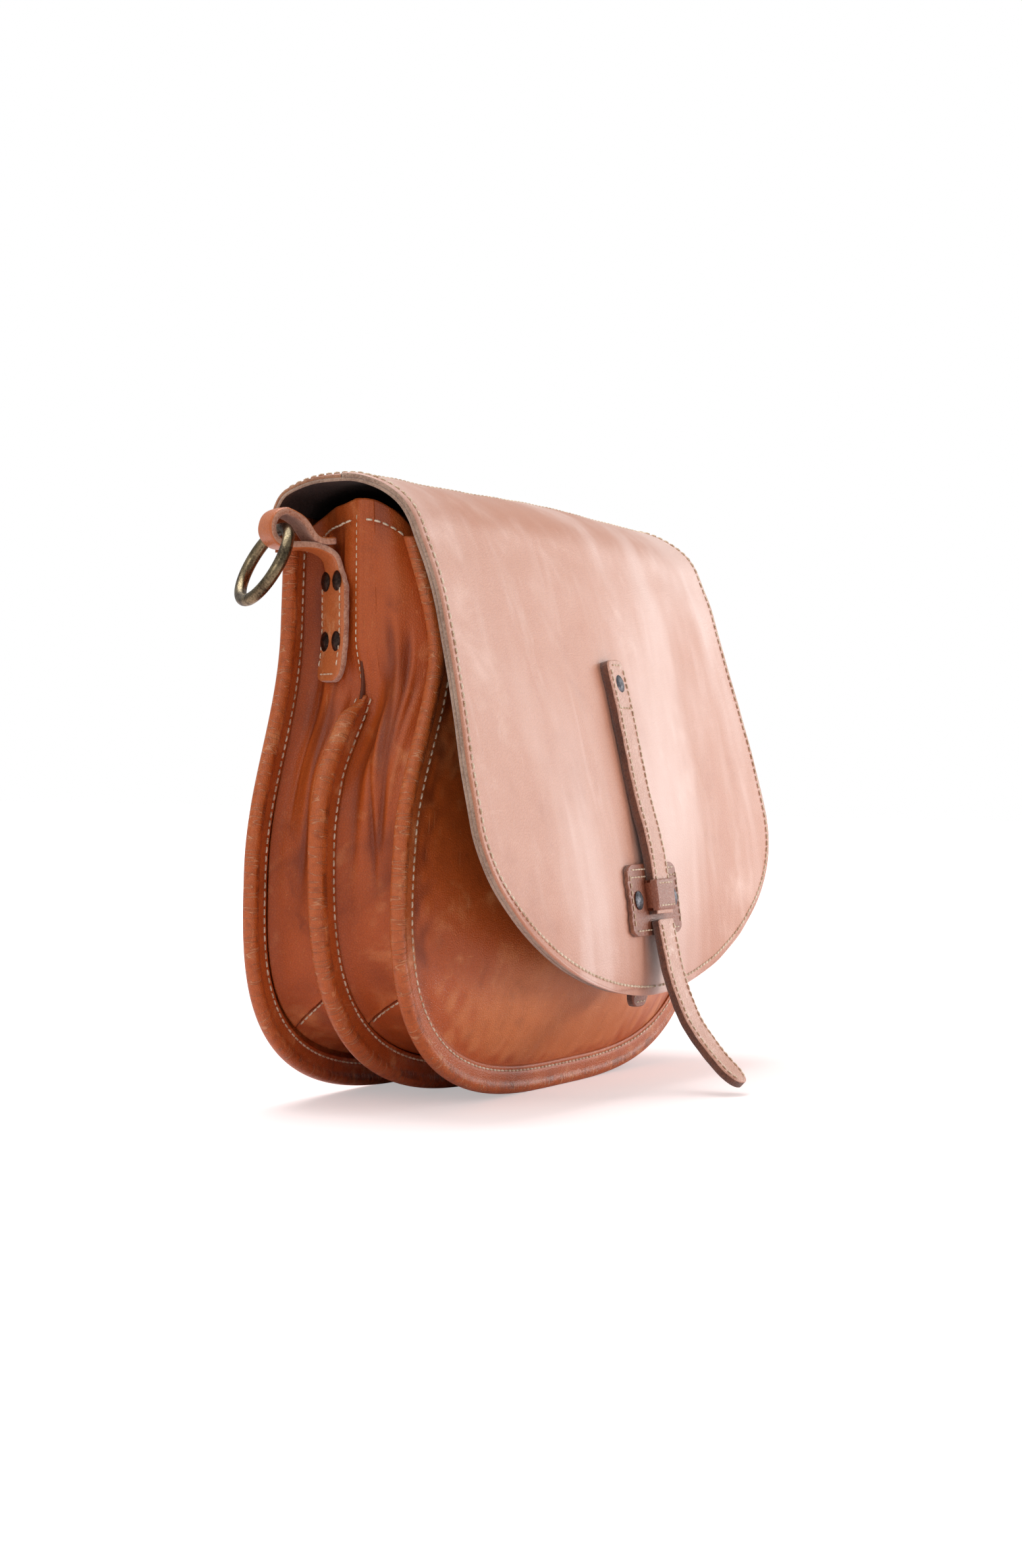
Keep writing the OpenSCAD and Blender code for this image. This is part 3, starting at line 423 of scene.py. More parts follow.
# The mark on the points: above zero the leather is bent outward and pales, as pull-up leather does, and on
# the front's belly it is a painted highlight; below zero it is painted shade in a fold or hollow
bend_pale_and_painted_light = mark(hide, "bend_pale_and_painted_light")
bend_pale_and_highlight = times(hide, ranged(hide, bend_pale_and_painted_light, 0.0, 1.0), plus(hide, 0.35, times(hide, patch, 0.5)))
paled = maths(hide, "MINIMUM", plus(hide, pale, bend_pale_and_highlight), 0.85)
toned = blended(hide, paled, body_tone, taken.outputs["Light"])
# Painted shade: below zero the mark darkens the leather toward its dark tone
toned = blended(hide, times(hide, ranged(hide, bend_pale_and_painted_light, 0.0, -1.0), 0.75), toned, taken.outputs["Dark"])
toned = blended(hide, times(hide, ranged(hide, pores, 0.0, 0.12, 1.0, 0.0), 0.2), toned,
                taken.outputs["Dark"], "MULTIPLY")
hide.links.new(toned, given.inputs["Color"])
rough = plus(hide, taken.outputs["Gloss"], times(hide, maths(hide, "SUBTRACT", tone, 0.5), -0.35))
rough = plus(hide, rough, times(hide, pale, 0.25))
hide.links.new(maths(hide, "MINIMUM", maths(hide, "MAXIMUM", rough, 0.12), 0.95), given.inputs["Roughness"])
height = plus(hide, times(hide, pore_walls, 0.35), times(hide, tone, 2.0))
height = maths(hide, "SUBTRACT", height, times(hide, scratch, 0.7))
height = plus(hide, height, times(hide, noise(hide, place, 1500.0, 2), 0.3))
hide.links.new(height, given.inputs["Height"])


def leather(name, dark, middle, light, cloud=18.0, pore=900.0, scratches=0.5, gloss=0.4, coat=0.25, sheen=0.0,
            grain=0.00022, extra=None):
    """A waxed leather: the hide effect drives its colour, roughness and bump, and extra may rework the
    colour and height with marks of the piece's own."""
    material, tree = node_tree(name)
    place = coordinates(tree)
    skin = add(tree, "ShaderNodeGroup", node_tree=hide)
    for key, value in (("Dark", dark), ("Middle", middle), ("Light", light), ("Cloud", cloud), ("Pore", pore),
                       ("Scratches", scratches), ("Gloss", gloss)):
        skin.inputs[key].default_value = value
    tree.links.new(place, skin.inputs["Place"])
    colour, height = skin.outputs["Color"], skin.outputs["Height"]
    if extra:
        colour, height = extra(tree, place, colour, height)
    principled(tree, colour, skin.outputs["Roughness"], height, grain, Coat_Weight=coat, Coat_Roughness=0.3,
               Sheen_Weight=sheen, Sheen_Roughness=0.5, Specular_IOR_Level=0.42)
    return material


cognac_dark, cognac_middle, cognac_light = rgb(124, 50, 18), rgb(198, 94, 36), rgb(236, 150, 92)
bag_leather = leather("bag_leather", cognac_dark, cognac_middle, cognac_light, cloud=15, scratches=0.75,
                      gloss=0.4, coat=0.12)


def along_normals(points, toward):
    """Unit normals of a grid of points: the cross product of its two gradients, turned to the side of
    toward. Where the grid runs to a point, the mean of the others fills in."""
    normal = np.cross(np.gradient(points, axis=0), np.gradient(points, axis=1))
    long = np.linalg.norm(normal, axis=-1, keepdims=True)
    normal = np.where(long > 1e-9, normal / np.maximum(long, 1e-9), 0)
    bare = np.linalg.norm(normal, axis=-1) < 0.5
    filler = normal[~bare].mean(0)
    normal[bare] = filler / np.linalg.norm(filler)
    return normal * np.where((normal * toward).sum(-1, keepdims=True) < 0, -1, 1)


panel_share, panel_across = np.linspace(0, 1, 90)[:, None], np.linspace(-1, 1, 81)[None, :]


def flat_sheet(rim, depth):
    """A grid that spans a rim from side to side, at a depth below its outline."""
    line = rim_point(rim, panel_share[:, 0], depth, 0, rim_top_z[rim])[:, None]
    return np.stack(np.broadcast_arrays(line[..., 0] * panel_across, line[..., 1], line[..., 2]), -1)


calm = smooth((1 - abs(panel_across)) * 4) * smooth((1 - panel_share) * 5) * smooth(panel_share * 6)
back = flat_sheet(REAR, sewn_d[REAR] + 0.2)
back[..., 1] += calm * (1.1 * rippled(back, 120, 3) + 0.6)
points, faces, _, _ = shell(back + [0, LEATHER, 0], back)
make_piece("back_panel_leather", points, faces, [bag_leather], "bag", ["back_panel"])

# Divider. A thinner sheet of dark leather parts the two compartments. Its edge is caught in the middle
# welt below, and in the bare ridge seam above the welt's end, where it draws forward with the seam.
fold_depth, ridge_depth, welt_end_z, ridge_run = 16, 1.5, 184, 30


def ridge_share(share):
    """How far the middle seam has left its welt at a share of the rim: a smooth step over ridge_run."""
    return smooth((rim_outline(MIDDLE, abs(share), rim_top_z[MIDDLE])[1] - welt_end_z) / ridge_run)


divider_leather = leather("divider_leather", rgb(70, 34, 20), rgb(112, 56, 32), rgb(150, 88, 54),
                          gloss=0.55, coat=0)
divider = flat_sheet(MIDDLE, mix(sewn_d[MIDDLE], ridge_depth, ridge_share(panel_share[:, 0])) + 0.2)
divider[..., 1] += calm * 0.8 * rippled(divider, 110, 4)
half_divider = np.array([0, DIVIDER / 2, 0])
points, faces, _, _ = shell(divider + half_divider, divider - half_divider)
make_piece("divider_leather", points, faces, [divider_leather], "bag", ["divider_panel"])

# Gussets. Two accordion gussets join the three rims: each is a side piece on the left and right and a
# bottom piece, sewn together at the lower corners. Low down they form a valley between the welts; at
# the neck the rear one folds in, and the front one swells to the bare ridge seam.
corner_seam_z = 34
seam_share = lobe_share * math.degrees(math.acos((1 - corner_seam_z / widest_z) ** 1.5)) / 90
low_shares = (0, 0.55, 0.85, 1, 1, 0.85, 0.55, 0)
even_shares = (0, 0.1, 0.26, 0.42, 0.58, 0.74, 0.9, 1)
rear_neck = ((0.8, 1, 1, 0.78, 0.45, 0.18, 0.05, 0), (0, 0.17, 0.3, 0.42, 0.6, 0.78, 0.9, 1))
front_neck = ((0, 0.03, 0.08, 0.2, 0.42, 0.62, 0.74, 0.66), (0, 0.16, 0.32, 0.48, 0.63, 0.77, 0.89, 1))
gusset_base, valley_low, ridge_reach = cheek_d[MIDDLE] + LEATHER / 4, 3.5, 0.5
fold_from, fold_over, near_root, far_root, puff_from, puff_over = 0.55, 0.31, 0.18, 0.82, 225, 35
# Bounds of a crease's place across, drift over 80 mm of height, width, depth in mm and top in mm
crease_count = 7
crease_least, crease_most = (0.15, -0.22, 0.025, 0.5, 175), (0.85, 0.22, 0.08, 1.1, 262)


def through(knots, heights, places):
    """A smooth line through each row's knots, by cubic Hermite pieces with the mean slope of the two
    neighbours at each knot, read at the given places."""
    slope = np.gradient(heights, axis=1) / np.maximum(np.gradient(knots, axis=1), 1e-6)
    left = np.clip((places[None, :, None] >= knots[:, None, :]).sum(-1) - 1, 0, knots.shape[1] - 2)
    (k0, k1), (h0, h1), (s0, s1) = ([np.take_along_axis(table, left + side, 1) for side in (0, 1)]
                                    for table in (knots, heights, slope))
    span = k1 - k0
    t = np.clip((places[None, :] - k0) / span, 0, 1)
    return (h0 * (2 * t ** 3 - 3 * t ** 2 + 1) + h1 * (3 * t ** 2 - 2 * t ** 3)
            + span * (s0 * (t ** 3 - 2 * t ** 2 + t) + s1 * (t ** 3 - t ** 2)))


def gusset(rims, share, across, lift=0.0):
    """The gusset's outer face between two rims: its depth below the rims runs through the low valley and
    the neck's fold, blended by height, and each point lies between the rims at the same share. Below the
    mouth the leather puffs upward, so that the hem stands proud."""
    near, far = rims
    neck, places = rear_neck if near == REAR else front_neck
    z = rim_outline(MIDDLE, abs(share), rim_top_z[MIDDLE])[1][:, None]
    in_neck, in_ridge = smooth((z / shoulder_z - fold_from) / fold_over), ridge_share(share)[:, None]
    knots = mix(np.array(even_shares), np.array(places), in_neck)
    reach = np.clip(1 - abs(knots - (0 if near == MIDDLE else 1)) / ridge_reach, 0, 1)
    valley = gusset_base + valley_low * np.array(low_shares)
    folded = mix(ridge_depth, fold_depth, np.array(neck))
    heights = mix(valley, folded, mix(in_neck, in_ridge, reach))
    for rim, beside in ((near, knots < near_root), (far, knots > far_root)):
        root = (cheek_d[rim] + LEATHER / 4) * (1 - in_ridge if rim == MIDDLE else 1 + 0 * in_ridge)
        heights = np.where(beside, np.maximum(heights, root), heights)
    depth = through(knots, heights, across) - lift
    first = rim_point(near, share[:, None], depth, 0, rim_top_z[near])
    second = rim_point(far, share[:, None], depth, 0, rim_top_z[far])
    first[..., 1] -= rim_stack[near] / 2 - sewn_gap
    second[..., 1] += rim_stack[far] / 2 - sewn_gap
    points = mix(first, second, across[None, :, None])
    if near == MIDDLE:
        puff = 3.5 * (1 - across) + 5 * (across - across ** 2.5) * 3
    else:
        puff = 3.5 * across + 8 * np.sin(math.pi * across) ** 0.7 * (1 - across)
    points[..., 2] += puff[None, :] * smooth((points[..., 2] - puff_from) / puff_over)
    return points


def gusset_wrinkles(points, share, across, seed):
    """Outward push in millimetres: soft folds that run up the gusset, strongest at the shoulders, and die
    out at both welts."""
    hold = np.sin(math.pi * across)[None, :] ** 0.7
    upper = smooth((points[..., 2] - 60) / 110)
    push = (0.4 + 0.5 * upper) * rippled(points * [1, 1, 0.35], 17, seed)
    chance = np.random.default_rng(seed)
    for _ in range(crease_count):
        at, drift, width, deep, top = chance.uniform(crease_least, crease_most)
        beside = (across[None, :] - at - drift * (points[..., 2] - 190) / 80) / width
        length = smooth((points[..., 2] - top + 85) / 40) * smooth((top + 12 - points[..., 2]) / 20)
        push += deep * length * (0.5 * np.exp(-(beside - 1.7) ** 2) - np.exp(-beside ** 2))
    return hold * push


gusset_across, seam_slant, rim_run = np.linspace(0, 1, 61), 0.11, 400
whole = np.linspace(-1, 1, 1101)
for side_name, rims, seed in (("rear", (REAR, MIDDLE), 11), ("front", (MIDDLE, FRONT), 21)):
    smooth_gusset = gusset(rims, whole, gusset_across)
    cut = seam_share + seam_slant * (gusset_across - 0.5)
    top_end = np.ones_like(cut)
    for part, start, end, steps in (("left", -top_end, -cut, 220), ("bottom", -cut, cut, 150),
                                    ("right", cut, top_end, 220)):
        share = mix(start, end, np.linspace(0, 1, steps)[:, None])
        columns = [np.stack([np.interp(share[:, j], whole, smooth_gusset[:, j, k]) for k in range(3)], -1)
                   for j in range(len(gusset_across))]
        outer = np.stack(columns, 1)
        push = gusset_wrinkles(outer, share, gusset_across, seed + len(part))
        from_cut = (abs(share) - cut) * rim_run
        push += np.where(from_cut > 0, 0.45, -0.1) * smooth(1 - abs(from_cut) / 9)
        push -= 0.5 * np.exp(-(from_cut / 0.9) ** 2)
        inward = along_normals(outer, outer * [-10, 0, 0] + [0, 0, 1])
        outer = outer - inward * np.maximum(push[..., None], -2.0)
        straight = mix(outer[:, :1], outer[:, -1:], gusset_across[None, :, None])
        behind = np.linalg.norm(outer - straight, axis=-1)
        # The mark pales the leather where it is pushed out, as bent pull-up leather does; it paints shade
        # into the folds and, by the depth behind the welts, into the gusset's hollow, and it darkens the line
        # of the corner seam
        bend_pale_and_painted_light = np.clip(push * 0.75 - 0.1, -0.7, 0.8) - 0.7 * smooth(behind / 13)
        bend_pale_and_painted_light = bend_pale_and_painted_light - np.exp(-(from_cut / 1.1) ** 2)
        points, faces, _, _ = shell(outer, outer + inward * LEATHER)
        make_piece(f"{side_name}_gusset_{part}_leather", points, faces, [bag_leather], "bag",
                   [f"{side_name}_gusset_{part}"], marks={"bend_pale_and_painted_light": both_sides(bend_pale_and_painted_light)})

# Front panel. One piece of leather, wetted and stretched into a low dome that stands forward of its
# rim, so the front pocket holds its shape. Its flat edge is sewn into the front welt.
SWELL, SWELL_Z, dome_run = 33, 105, 120
belly_x, belly_z, belly_wide, belly_high = -15, 42, 95, 34


def front_loop(depth, count=361, across=90):
    """The front rim's closed loop at a depth: up the left, and back across the straight mouth."""
    y = -rim_stack[FRONT] / 2 + sewn_gap / 2
    top = rim_top_z[FRONT] + edge_d[FRONT] - depth
    rim = rim_point(FRONT, np.linspace(-1, 1, count), depth, y, top)
    mouth = np.linspace(1, -1, across)[1:-1, None] * [1, 0, 0] + [0, 1, 1]
    return np.concatenate([rim, rim[-1] * mouth])


foot = front_loop(cheek_d[FRONT] + sewn_gap)
dome_r = np.linspace(1, 0, 64)[:, None]
power = mix(2.2, 1.3, smooth((foot[:, 2] - SWELL_Z) / (rim_top_z[FRONT] - SWELL_Z)))[None, :]
dome = np.stack([foot[None, :, 0] * dome_r, mix(-front_gap - SWELL, foot[None, :, 1], dome_r ** power),
                 mix(SWELL_Z, foot[None, :, 2], dome_r)], -1)
front_grid = np.concatenate([front_loop(sewn_d[FRONT])[None], dome])
from_seam = np.concatenate([[0], (1 - dome_r[:, 0]) * dome_run])[:, None]
pucker = 0.5 * np.exp(-from_seam / 14) * smooth(from_seam / 3) * ripple(front_grid * [1, 1, 0.9], 11, 31)
slack = 0.9 * smooth(from_seam / 30) * (1 + ripple(front_grid, 75, 32)) / 2
front_grid[..., 1] -= pucker + slack * smooth(from_seam / 20)
rows, columns = front_grid.shape[:2]
faces = grid_faces(rows, columns, wrap=True)
count = rows * columns
ring = np.arange(columns)
following = np.roll(ring, -1)
points = np.concatenate([front_grid.reshape(-1, 3), (front_grid + [0, LEATHER, 0]).reshape(-1, 3)])
faces = np.concatenate([faces, faces[:, ::-1] + count,
                        np.stack([ring, following, following + count, ring + count], -1)])
# The mark pales the crests of the puckers and paints shade into their dips and along the seam into the
# welt; where the belly stands out most it paints a highlight
aside, above = (front_grid[..., 0] - belly_x) / belly_wide, (front_grid[..., 2] - belly_z) / belly_high
belly_highlight = np.exp(-aside ** 2 - above ** 2)
bend_pale_and_painted_light = np.clip(pucker * 1.6 - 0.1, -0.6, 0.8) - 0.5 * (1 - smooth(from_seam / 9)) + 2.0 * belly_highlight
make_piece("front_panel_leather", points, faces, [bag_leather], "bag", ["front_panel"],
           marks={"bend_pale_and_painted_light": both_sides(bend_pale_and_painted_light)})

# Welts. A strip of the same leather is wrapped round a cord and closed over the sewn edges of two
# pieces. It leaves a round bead with two flat cheeks, which are hand-stitched through all the layers.
bead_steps, cheek_steps, welt_pitch, bead_slim, cheek_slim, stitch_in = 30, 11, 1.0, 0.85, 1.05, 2.2
welt_top = (rim_top_z[REAR], welt_end_z + 6, rim_top_z[FRONT])


def even_steps(rim, pitch):
    """Shares of a welt's rim that lie a pitch apart on its outline, and the length run through at each."""
    fine = np.linspace(-1, 1, 4000)
    x, z = rim_outline(rim, abs(fine), welt_top[rim])
    run = np.concatenate([[0], np.cumsum(np.hypot(np.diff(x * np.sign(fine + 1e-9)), np.diff(z)))])
    places = np.linspace(0, run[-1], int(run[-1] / pitch) + 1)
    return np.interp(places, run, fine), places


def welt(rim):
    """The welt's section carried round its rim: down one cheek with the groove that the stitches pull in,
    round the bead on a circle, and up the other cheek. The bead is pushed in and out by short waves,
    the gathers of the bent leather. The middle welt thins out at both ends."""
    share, run = even_steps(rim, welt_pitch)
    h, r = rim_stack[rim] / 2, bead_r[rim] * bead_slim
    start = math.asin(min((h - sewn_gap + cheek_slim) / r, 0.97))
    turn = np.linspace(start, 2 * math.pi - start, bead_steps)
    cheek = np.linspace(cheek_d[rim], r + r * math.cos(start), cheek_steps + 1)[:-1]
    from_edge = cheek - cheek_d[rim]
    groove = (-0.38 * np.exp(-((from_edge + stitch_in) / 0.8) ** 2)
              + 0.15 * np.sin(math.pi * (cheek - cheek[-1]) / (cheek[0] - cheek[-1]))
              - 0.35 * np.exp(-(from_edge / 0.5) ** 2))
    rim_edge = [edge_d[rim], cheek_d[rim]]
    depth = np.concatenate([rim_edge, cheek, r + r * np.cos(turn) - foot_sink, cheek[::-1], rim_edge[::-1]])
    cheek_y = r * math.sin(start) + groove
    side = np.concatenate([[h, h], cheek_y, r * np.sin(turn), -cheek_y[::-1], [-h, -h]])
    if rim == MIDDLE:
        fade = smooth(np.minimum(run, run[-1] - run) / 14)[:, None]
        depth = cheek_d[rim] - (cheek_d[rim] - depth) * mix(0.3, 1, fade)
        side = side * mix(0.5, 1, fade)
    flat = np.zeros(cheek_steps + len(rim_edge))
    bead = np.concatenate([flat, np.ones(bead_steps), flat])
    angle = np.concatenate([flat, turn, flat + 2 * math.pi])
    grid = np.stack(np.broadcast_arrays(run[:, None], 3.5 * np.cos(angle), 3.5 * np.sin(angle)), -1)
    bend = abs(np.gradient(np.gradient(rim_outline(rim, abs(share), welt_top[rim])[0]))) * 9
    push = ((0.1 + 0.1 * np.clip(bend, 0, 1.5))[:, None] * ripple(grid, 6.5, 40 + rim, 9)
            + 0.16 * ripple(grid, 26, 50 + rim)) * (0.3 + 0.7 * bead)
    push = push * (depth > stitch_in)
    # The mark pales the crests of the gathers as bent pull-up leather does, varies at random, and paints
    # shade into their dips
    bend_pale_and_painted_light = np.clip(push * 4 + 0.35 * ripple(grid, 3.2, 60 + rim, 9) * bead - 0.15, -0.7, 0.9)
    points = rim_point(rim, share[:, None], depth - push * np.cos(angle) * bead,
                       side + push * np.where(bead > 0, np.sin(angle), np.sign(side)), welt_top[rim])
    rows, columns = points.shape[:2]
    faces = grid_faces(rows, columns, wrap=True)
    caps = [np.arange(columns)[::-1], np.arange(columns) + (rows - 1) * columns]
    marks = {"bend_pale_and_painted_light": bend_pale_and_painted_light, "along": run[:, None], "wrap": angle, "bead": bead}
    marks = {key: np.broadcast_to(value, (rows, columns)) for key, value in marks.items()}
    return points.reshape(-1, 3), faces.tolist() + [cap.tolist() for cap in caps], marks


def stitch_row(path, facing, pitch=4.0, long=3.15, thick=1.05):
    """Thread stitches along a path in millimetres. Each is a six-sided spindle of five rings that rises out
    of its hole, lies on the leather and sinks again."""
    run = lengths(path)
    count = max(int(run[-1] / pitch), 1)
    middle = (run[-1] - count * pitch) / 2 + pitch * (np.arange(count) + 0.5)
    rise = np.array([-0.55, 0.06, 0.16, 0.06, -0.55]) * thick
    place = np.array([-0.5, -0.4, 0, 0.4, 0.5]) * long
    girth = np.array([0.3, 0.82, 1, 0.82, 0.3]) * thick / 2
    spot = middle[:, None] + place
    centre = np.stack([np.interp(spot, run, path[:, k]) for k in range(3)], -1)
    up = np.stack([np.interp(spot, run, facing[:, k]) for k in range(3)], -1)
    up /= np.linalg.norm(up, axis=-1, keepdims=True)
    ahead = centre[:, -1:] - centre[:, :1]
    ahead = ahead / np.linalg.norm(ahead, axis=-1, keepdims=True)
    wide = np.cross(up, ahead)
    centre = centre + up * rise[None, :, None]
    sides, rings = 6, len(rise)
    turn = np.arange(sides) * 2 * math.pi / sides
    circle = (wide[:, :, None] * np.cos(turn)[None, None, :, None]
              + up[:, :, None] * np.sin(turn)[None, None, :, None] * 0.8)
    points = centre[:, :, None] + circle * girth[None, :, None, None]
    each = sides * rings
    bases = range(0, count * each, each)
    faces = grid_faces(rings, sides, wrap=True)[None] + np.array(bases)[:, None, None]
    first_ends = [[base + k for k in reversed(range(sides))] for base in bases]
    last_ends = [[base + each - sides + k for k in range(sides)] for base in bases]
    return points.reshape(-1, 3), faces.reshape(-1, 4).tolist() + first_ends + last_ends


def sew(name, rows_of, material, body, slot, **sizes):
    """One piece of all the stitches of a seam, from its (path, facing) pairs."""
    all_points, all_faces, base = [], [], 0
    for path, facing in rows_of:
        points, faces = stitch_row(np.asarray(path, float), np.asarray(facing, float), **sizes)
        all_points.append(points)
        all_faces += [[k + base for k in face] for face in faces]
        base += len(points)
    return make_piece(name, np.concatenate(all_points), all_faces, [material], body)


def welt_seam(rim, side):
    """The path of the stitches on one cheek of a welt, and the way that cheek faces."""
    share, _ = even_steps(rim, 2.0)
    y = side * (rim_stack[rim] / 2 - sewn_gap + cheek_slim - 0.1)
    path = rim_point(rim, share, cheek_d[rim] - stitch_in, y, welt_top[rim])
    return path, np.broadcast_to([0.0, side, 0.0], path.shape)


def thread(name, light, dark):
    """Waxed linen thread: a fine noise roughens it, and a larger one soils it in places."""
    material, tree = node_tree(name)
    place = coordinates(tree)
    speck = noise(tree, place, 1800.0, 3, 0.6)
    large = noise(tree, place, 120.0, 2)
    soiled = ranged(tree, plus(tree, speck, times(tree, large, 0.8)), 0.65, 1.1)
    rough = ranged(tree, speck, 0.2, 0.8, 0.5, 0.7)
    principled(tree, blended(tree, soiled, dark, light), rough, speck, 0.0002, 0.7, Sheen_Weight=0.3)
    return material


def gathers(tree, place, colour, height):
    """Adds the thin pale lines where the bent bead is gathered: a noise run along the rim and a little round
    the bead, cut to the narrow band about its middle value."""
    along, wrap, bead = (mark(tree, key) for key in ("along", "wrap", "bead"))
    spot = add(tree, "ShaderNodeCombineXYZ", {0: along, 1: times(tree, wrap, 0.5)}).outputs[0]
    lines = noise(tree, spot, 0.26, 2, 0.5, 0.4)
    thin = ranged(tree, maths(tree, "ABSOLUTE", maths(tree, "SUBTRACT", lines, 0.5)), 0.0, 0.022, 1.0, 0.0)
    thin = times(tree, thin, bead)
    paler = blended(tree, times(tree, thin, 0.5), colour, rgb(232, 172, 128))
    return paler, plus(tree, height, times(tree, thin, 1.2))


welt_leather = leather("welt_leather", rgb(124, 54, 22), rgb(200, 100, 44), rgb(234, 158, 104), cloud=26,
                       scratches=0.9, gloss=0.34, coat=0.15, extra=gathers)
cream_thread = thread("cream_thread", rgb(248, 232, 206), rgb(190, 152, 116))
for rim, welt_name in ((REAR, "rear"), (MIDDLE, "middle"), (FRONT, "front")):
    points, faces, marks = welt(rim)
    make_piece(f"{welt_name}_welt_leather", points, faces, [welt_leather], "bag",
               [f"{welt_name}_welt"], marks=marks)
    sew(f"{welt_name}_welt_stitches", [welt_seam(rim, 1), welt_seam(rim, -1)], cream_thread, "bag",
        "welt_leather")

# Corner seams. At each lower corner of a gusset the side piece is lapped over the bottom piece, and one
# slanted row of stitches joins them.
corner_rows, corner_points = [], 40
for rims in ((REAR, MIDDLE), (MIDDLE, FRONT)):
    for side in (-1, 1):
        across = np.linspace(0.05, 0.95, corner_points)
        slant = side * (seam_share - 0.006 + seam_slant * (across - 0.5))
        spread = gusset(rims, slant, across)
        facing = along_normals(spread, spread * [10, 0, 0] - [0, 0, 1])
        each = np.arange(corner_points)
        corner_rows.append((spread[each, each] + facing[each, each] * 0.25, facing[each, each]))
sew("corner_stitches", corner_rows, cream_thread, "bag", "bag_leather")

# Mouth hems, linings and yoke. The mouths are bound with stitched bands of leather and the pockets are
# lined with brown cotton. A wide yoke is sewn flat on the back panel and carries the flap.
hem_high, hem_thick, hem_row = 13, 1.2, 8


def flat_leaf(name, half_width, low, high, y_of, thick, material, nodes, corner=0.0):
    """A flat leaf of the bag between two heights: y comes from the height, and its corners are rounded by
    drawing its half width in along a circle."""
    z = np.linspace(low, high, 40)[:, None]
    across = np.linspace(-1, 1, 121)[None, :]
    inset = np.clip(corner - np.minimum(z - low, high - z), 0, corner)
    half = half_width - corner + np.sqrt(np.maximum(corner ** 2 - inset ** 2, 0))
    grid = np.stack(np.broadcast_arrays(half * across, y_of(z), z), -1)
    points, faces, _, _ = shell(grid, grid + [0, thick, 0])
    return make_piece(name, points, faces, [material], "bag", nodes)


def level_row(half_width, z, y, facing, count=60):
    """A straight row across the bag at a height, and the way that its leather faces."""
    path = np.stack([np.linspace(-half_width, half_width, count), np.full(count, y), np.full(count, z)], -1)
    return path, np.broadcast_to([0.0, facing, 0.0], path.shape)


facing_half = neck_half_w - fold_depth - LEATHER - 0.6
divider_face = seam_plane(MIDDLE, rim_top_z[MIDDLE]) - DIVIDER / 2


def rear_band_y(z):
    """Where the rear mouth band's face lies at a height, in front of the leaning back panel."""
    return seam_plane(REAR, z) - hem_thick


def front_band_y(z):
    """Where the front mouth band's face lies, in front of the divider."""
    return divider_face - hem_thick + 0 * z


mouth_rows = []
for rim, band, band_y, node in ((REAR, "rear_mouth_band", rear_band_y, "rear_mouth_facing"),
                                (MIDDLE, "front_mouth_band", front_band_y, "front_mouth_facing")):
    flat_leaf(band, facing_half, rim_top_z[rim] - hem_high, rim_top_z[rim] + sewn_gap, band_y, hem_thick,
              bag_leather, [node])
    row_z = rim_top_z[rim] - hem_row
    mouth_rows.append(level_row(facing_half - 3, row_z, band_y(row_z), -1))
sew("mouth_band_stitches", mouth_rows, cream_thread, "bag", "bag_leather")

pocket_cotton, tree = node_tree("pocket_cotton")
place = coordinates(tree)
weave = [add(tree, "ShaderNodeTexWave", {"Vector": place, "Scale": 420.0, "Distortion": 0.6, "Detail": 1.0},
             bands_direction=way).outputs["Fac"] for way in ("X", "Z")]
woven = maths(tree, "MAXIMUM", *weave)
yarn = ranged(tree, times(tree, woven, noise(tree, place, 300.0)), 0.15, 0.6)
yarn_colour = blended(tree, yarn, rgb(92, 66, 46), rgb(142, 108, 78))
principled(tree, yarn_colour, ranged(tree, woven, 0, 1, 0.95, 0.8), woven, 0.0003, Sheen_Weight=0.3)

lining_depth, cotton_t = max(fold_depth, gusset_base + valley_low) + LEATHER + sewn_gap, 0.8


def pouch(name, rim, back_y, front_y, top, node):
    """A pocket lining: the compartment's outline, drawn in by a depth. Each row runs across the back leaf,
    round and over the front leaf, and both leaves ripple a little."""
    rows, columns = 70, 90
    share = np.linspace(0, 1, rows)
    line = rim_point(rim, share, lining_depth, 0, rim_top_z[rim])
    other = rim_point(MIDDLE, share, lining_depth, 0, rim_top_z[MIDDLE])
    z = np.linspace(max(line[0, 2], other[0, 2]) + 0.4, top, rows)
    half = np.minimum(np.interp(z, line[:, 2], line[:, 0]), np.interp(z, other[:, 2], other[:, 0]))
    half = half * smooth((z - z[0]) / 3 + 0.35) - 0.4
    turn = np.linspace(-1, 1, columns)
    grids = []
    for y, way in ((back_y - 0.2, -1), (front_y + 0.2, 1)):
        grid = np.stack(np.broadcast_arrays(half[:, None] * turn, y, z[:, None]), -1)
        grid[..., 1] += way * 0.35 * (1 + ripple(grid, 40, 61 + way)) * smooth((1 - abs(turn)) * 6)
        grids.append(grid)
    back, front = grids
    wall = np.concatenate([back, front[:, ::-1], back[:, :1]], 1)
    inner = wall * [0.994, 1, 1]
    inner[..., 1] -= cotton_t
    inner[:, columns:2 * columns, 1] += 2 * cotton_t
    points, faces, _, _ = shell(wall, inner)
    return make_piece(name, points, faces, [pocket_cotton], "bag", [node])


front_lining_top = 150
pouch("rear_pocket_lining", REAR, rear_gap - rear_lean - hem_thick - sewn_gap,
      LEATHER + DIVIDER / 2 + sewn_gap, rim_top_z[REAR] - hem_high, "rear_lining")
pouch("front_pocket_lining", FRONT, -LEATHER - DIVIDER / 2 - sewn_gap,
      seam_plane(FRONT, widest_z / 2) + LEATHER + sewn_gap, front_lining_top, "front_lining")

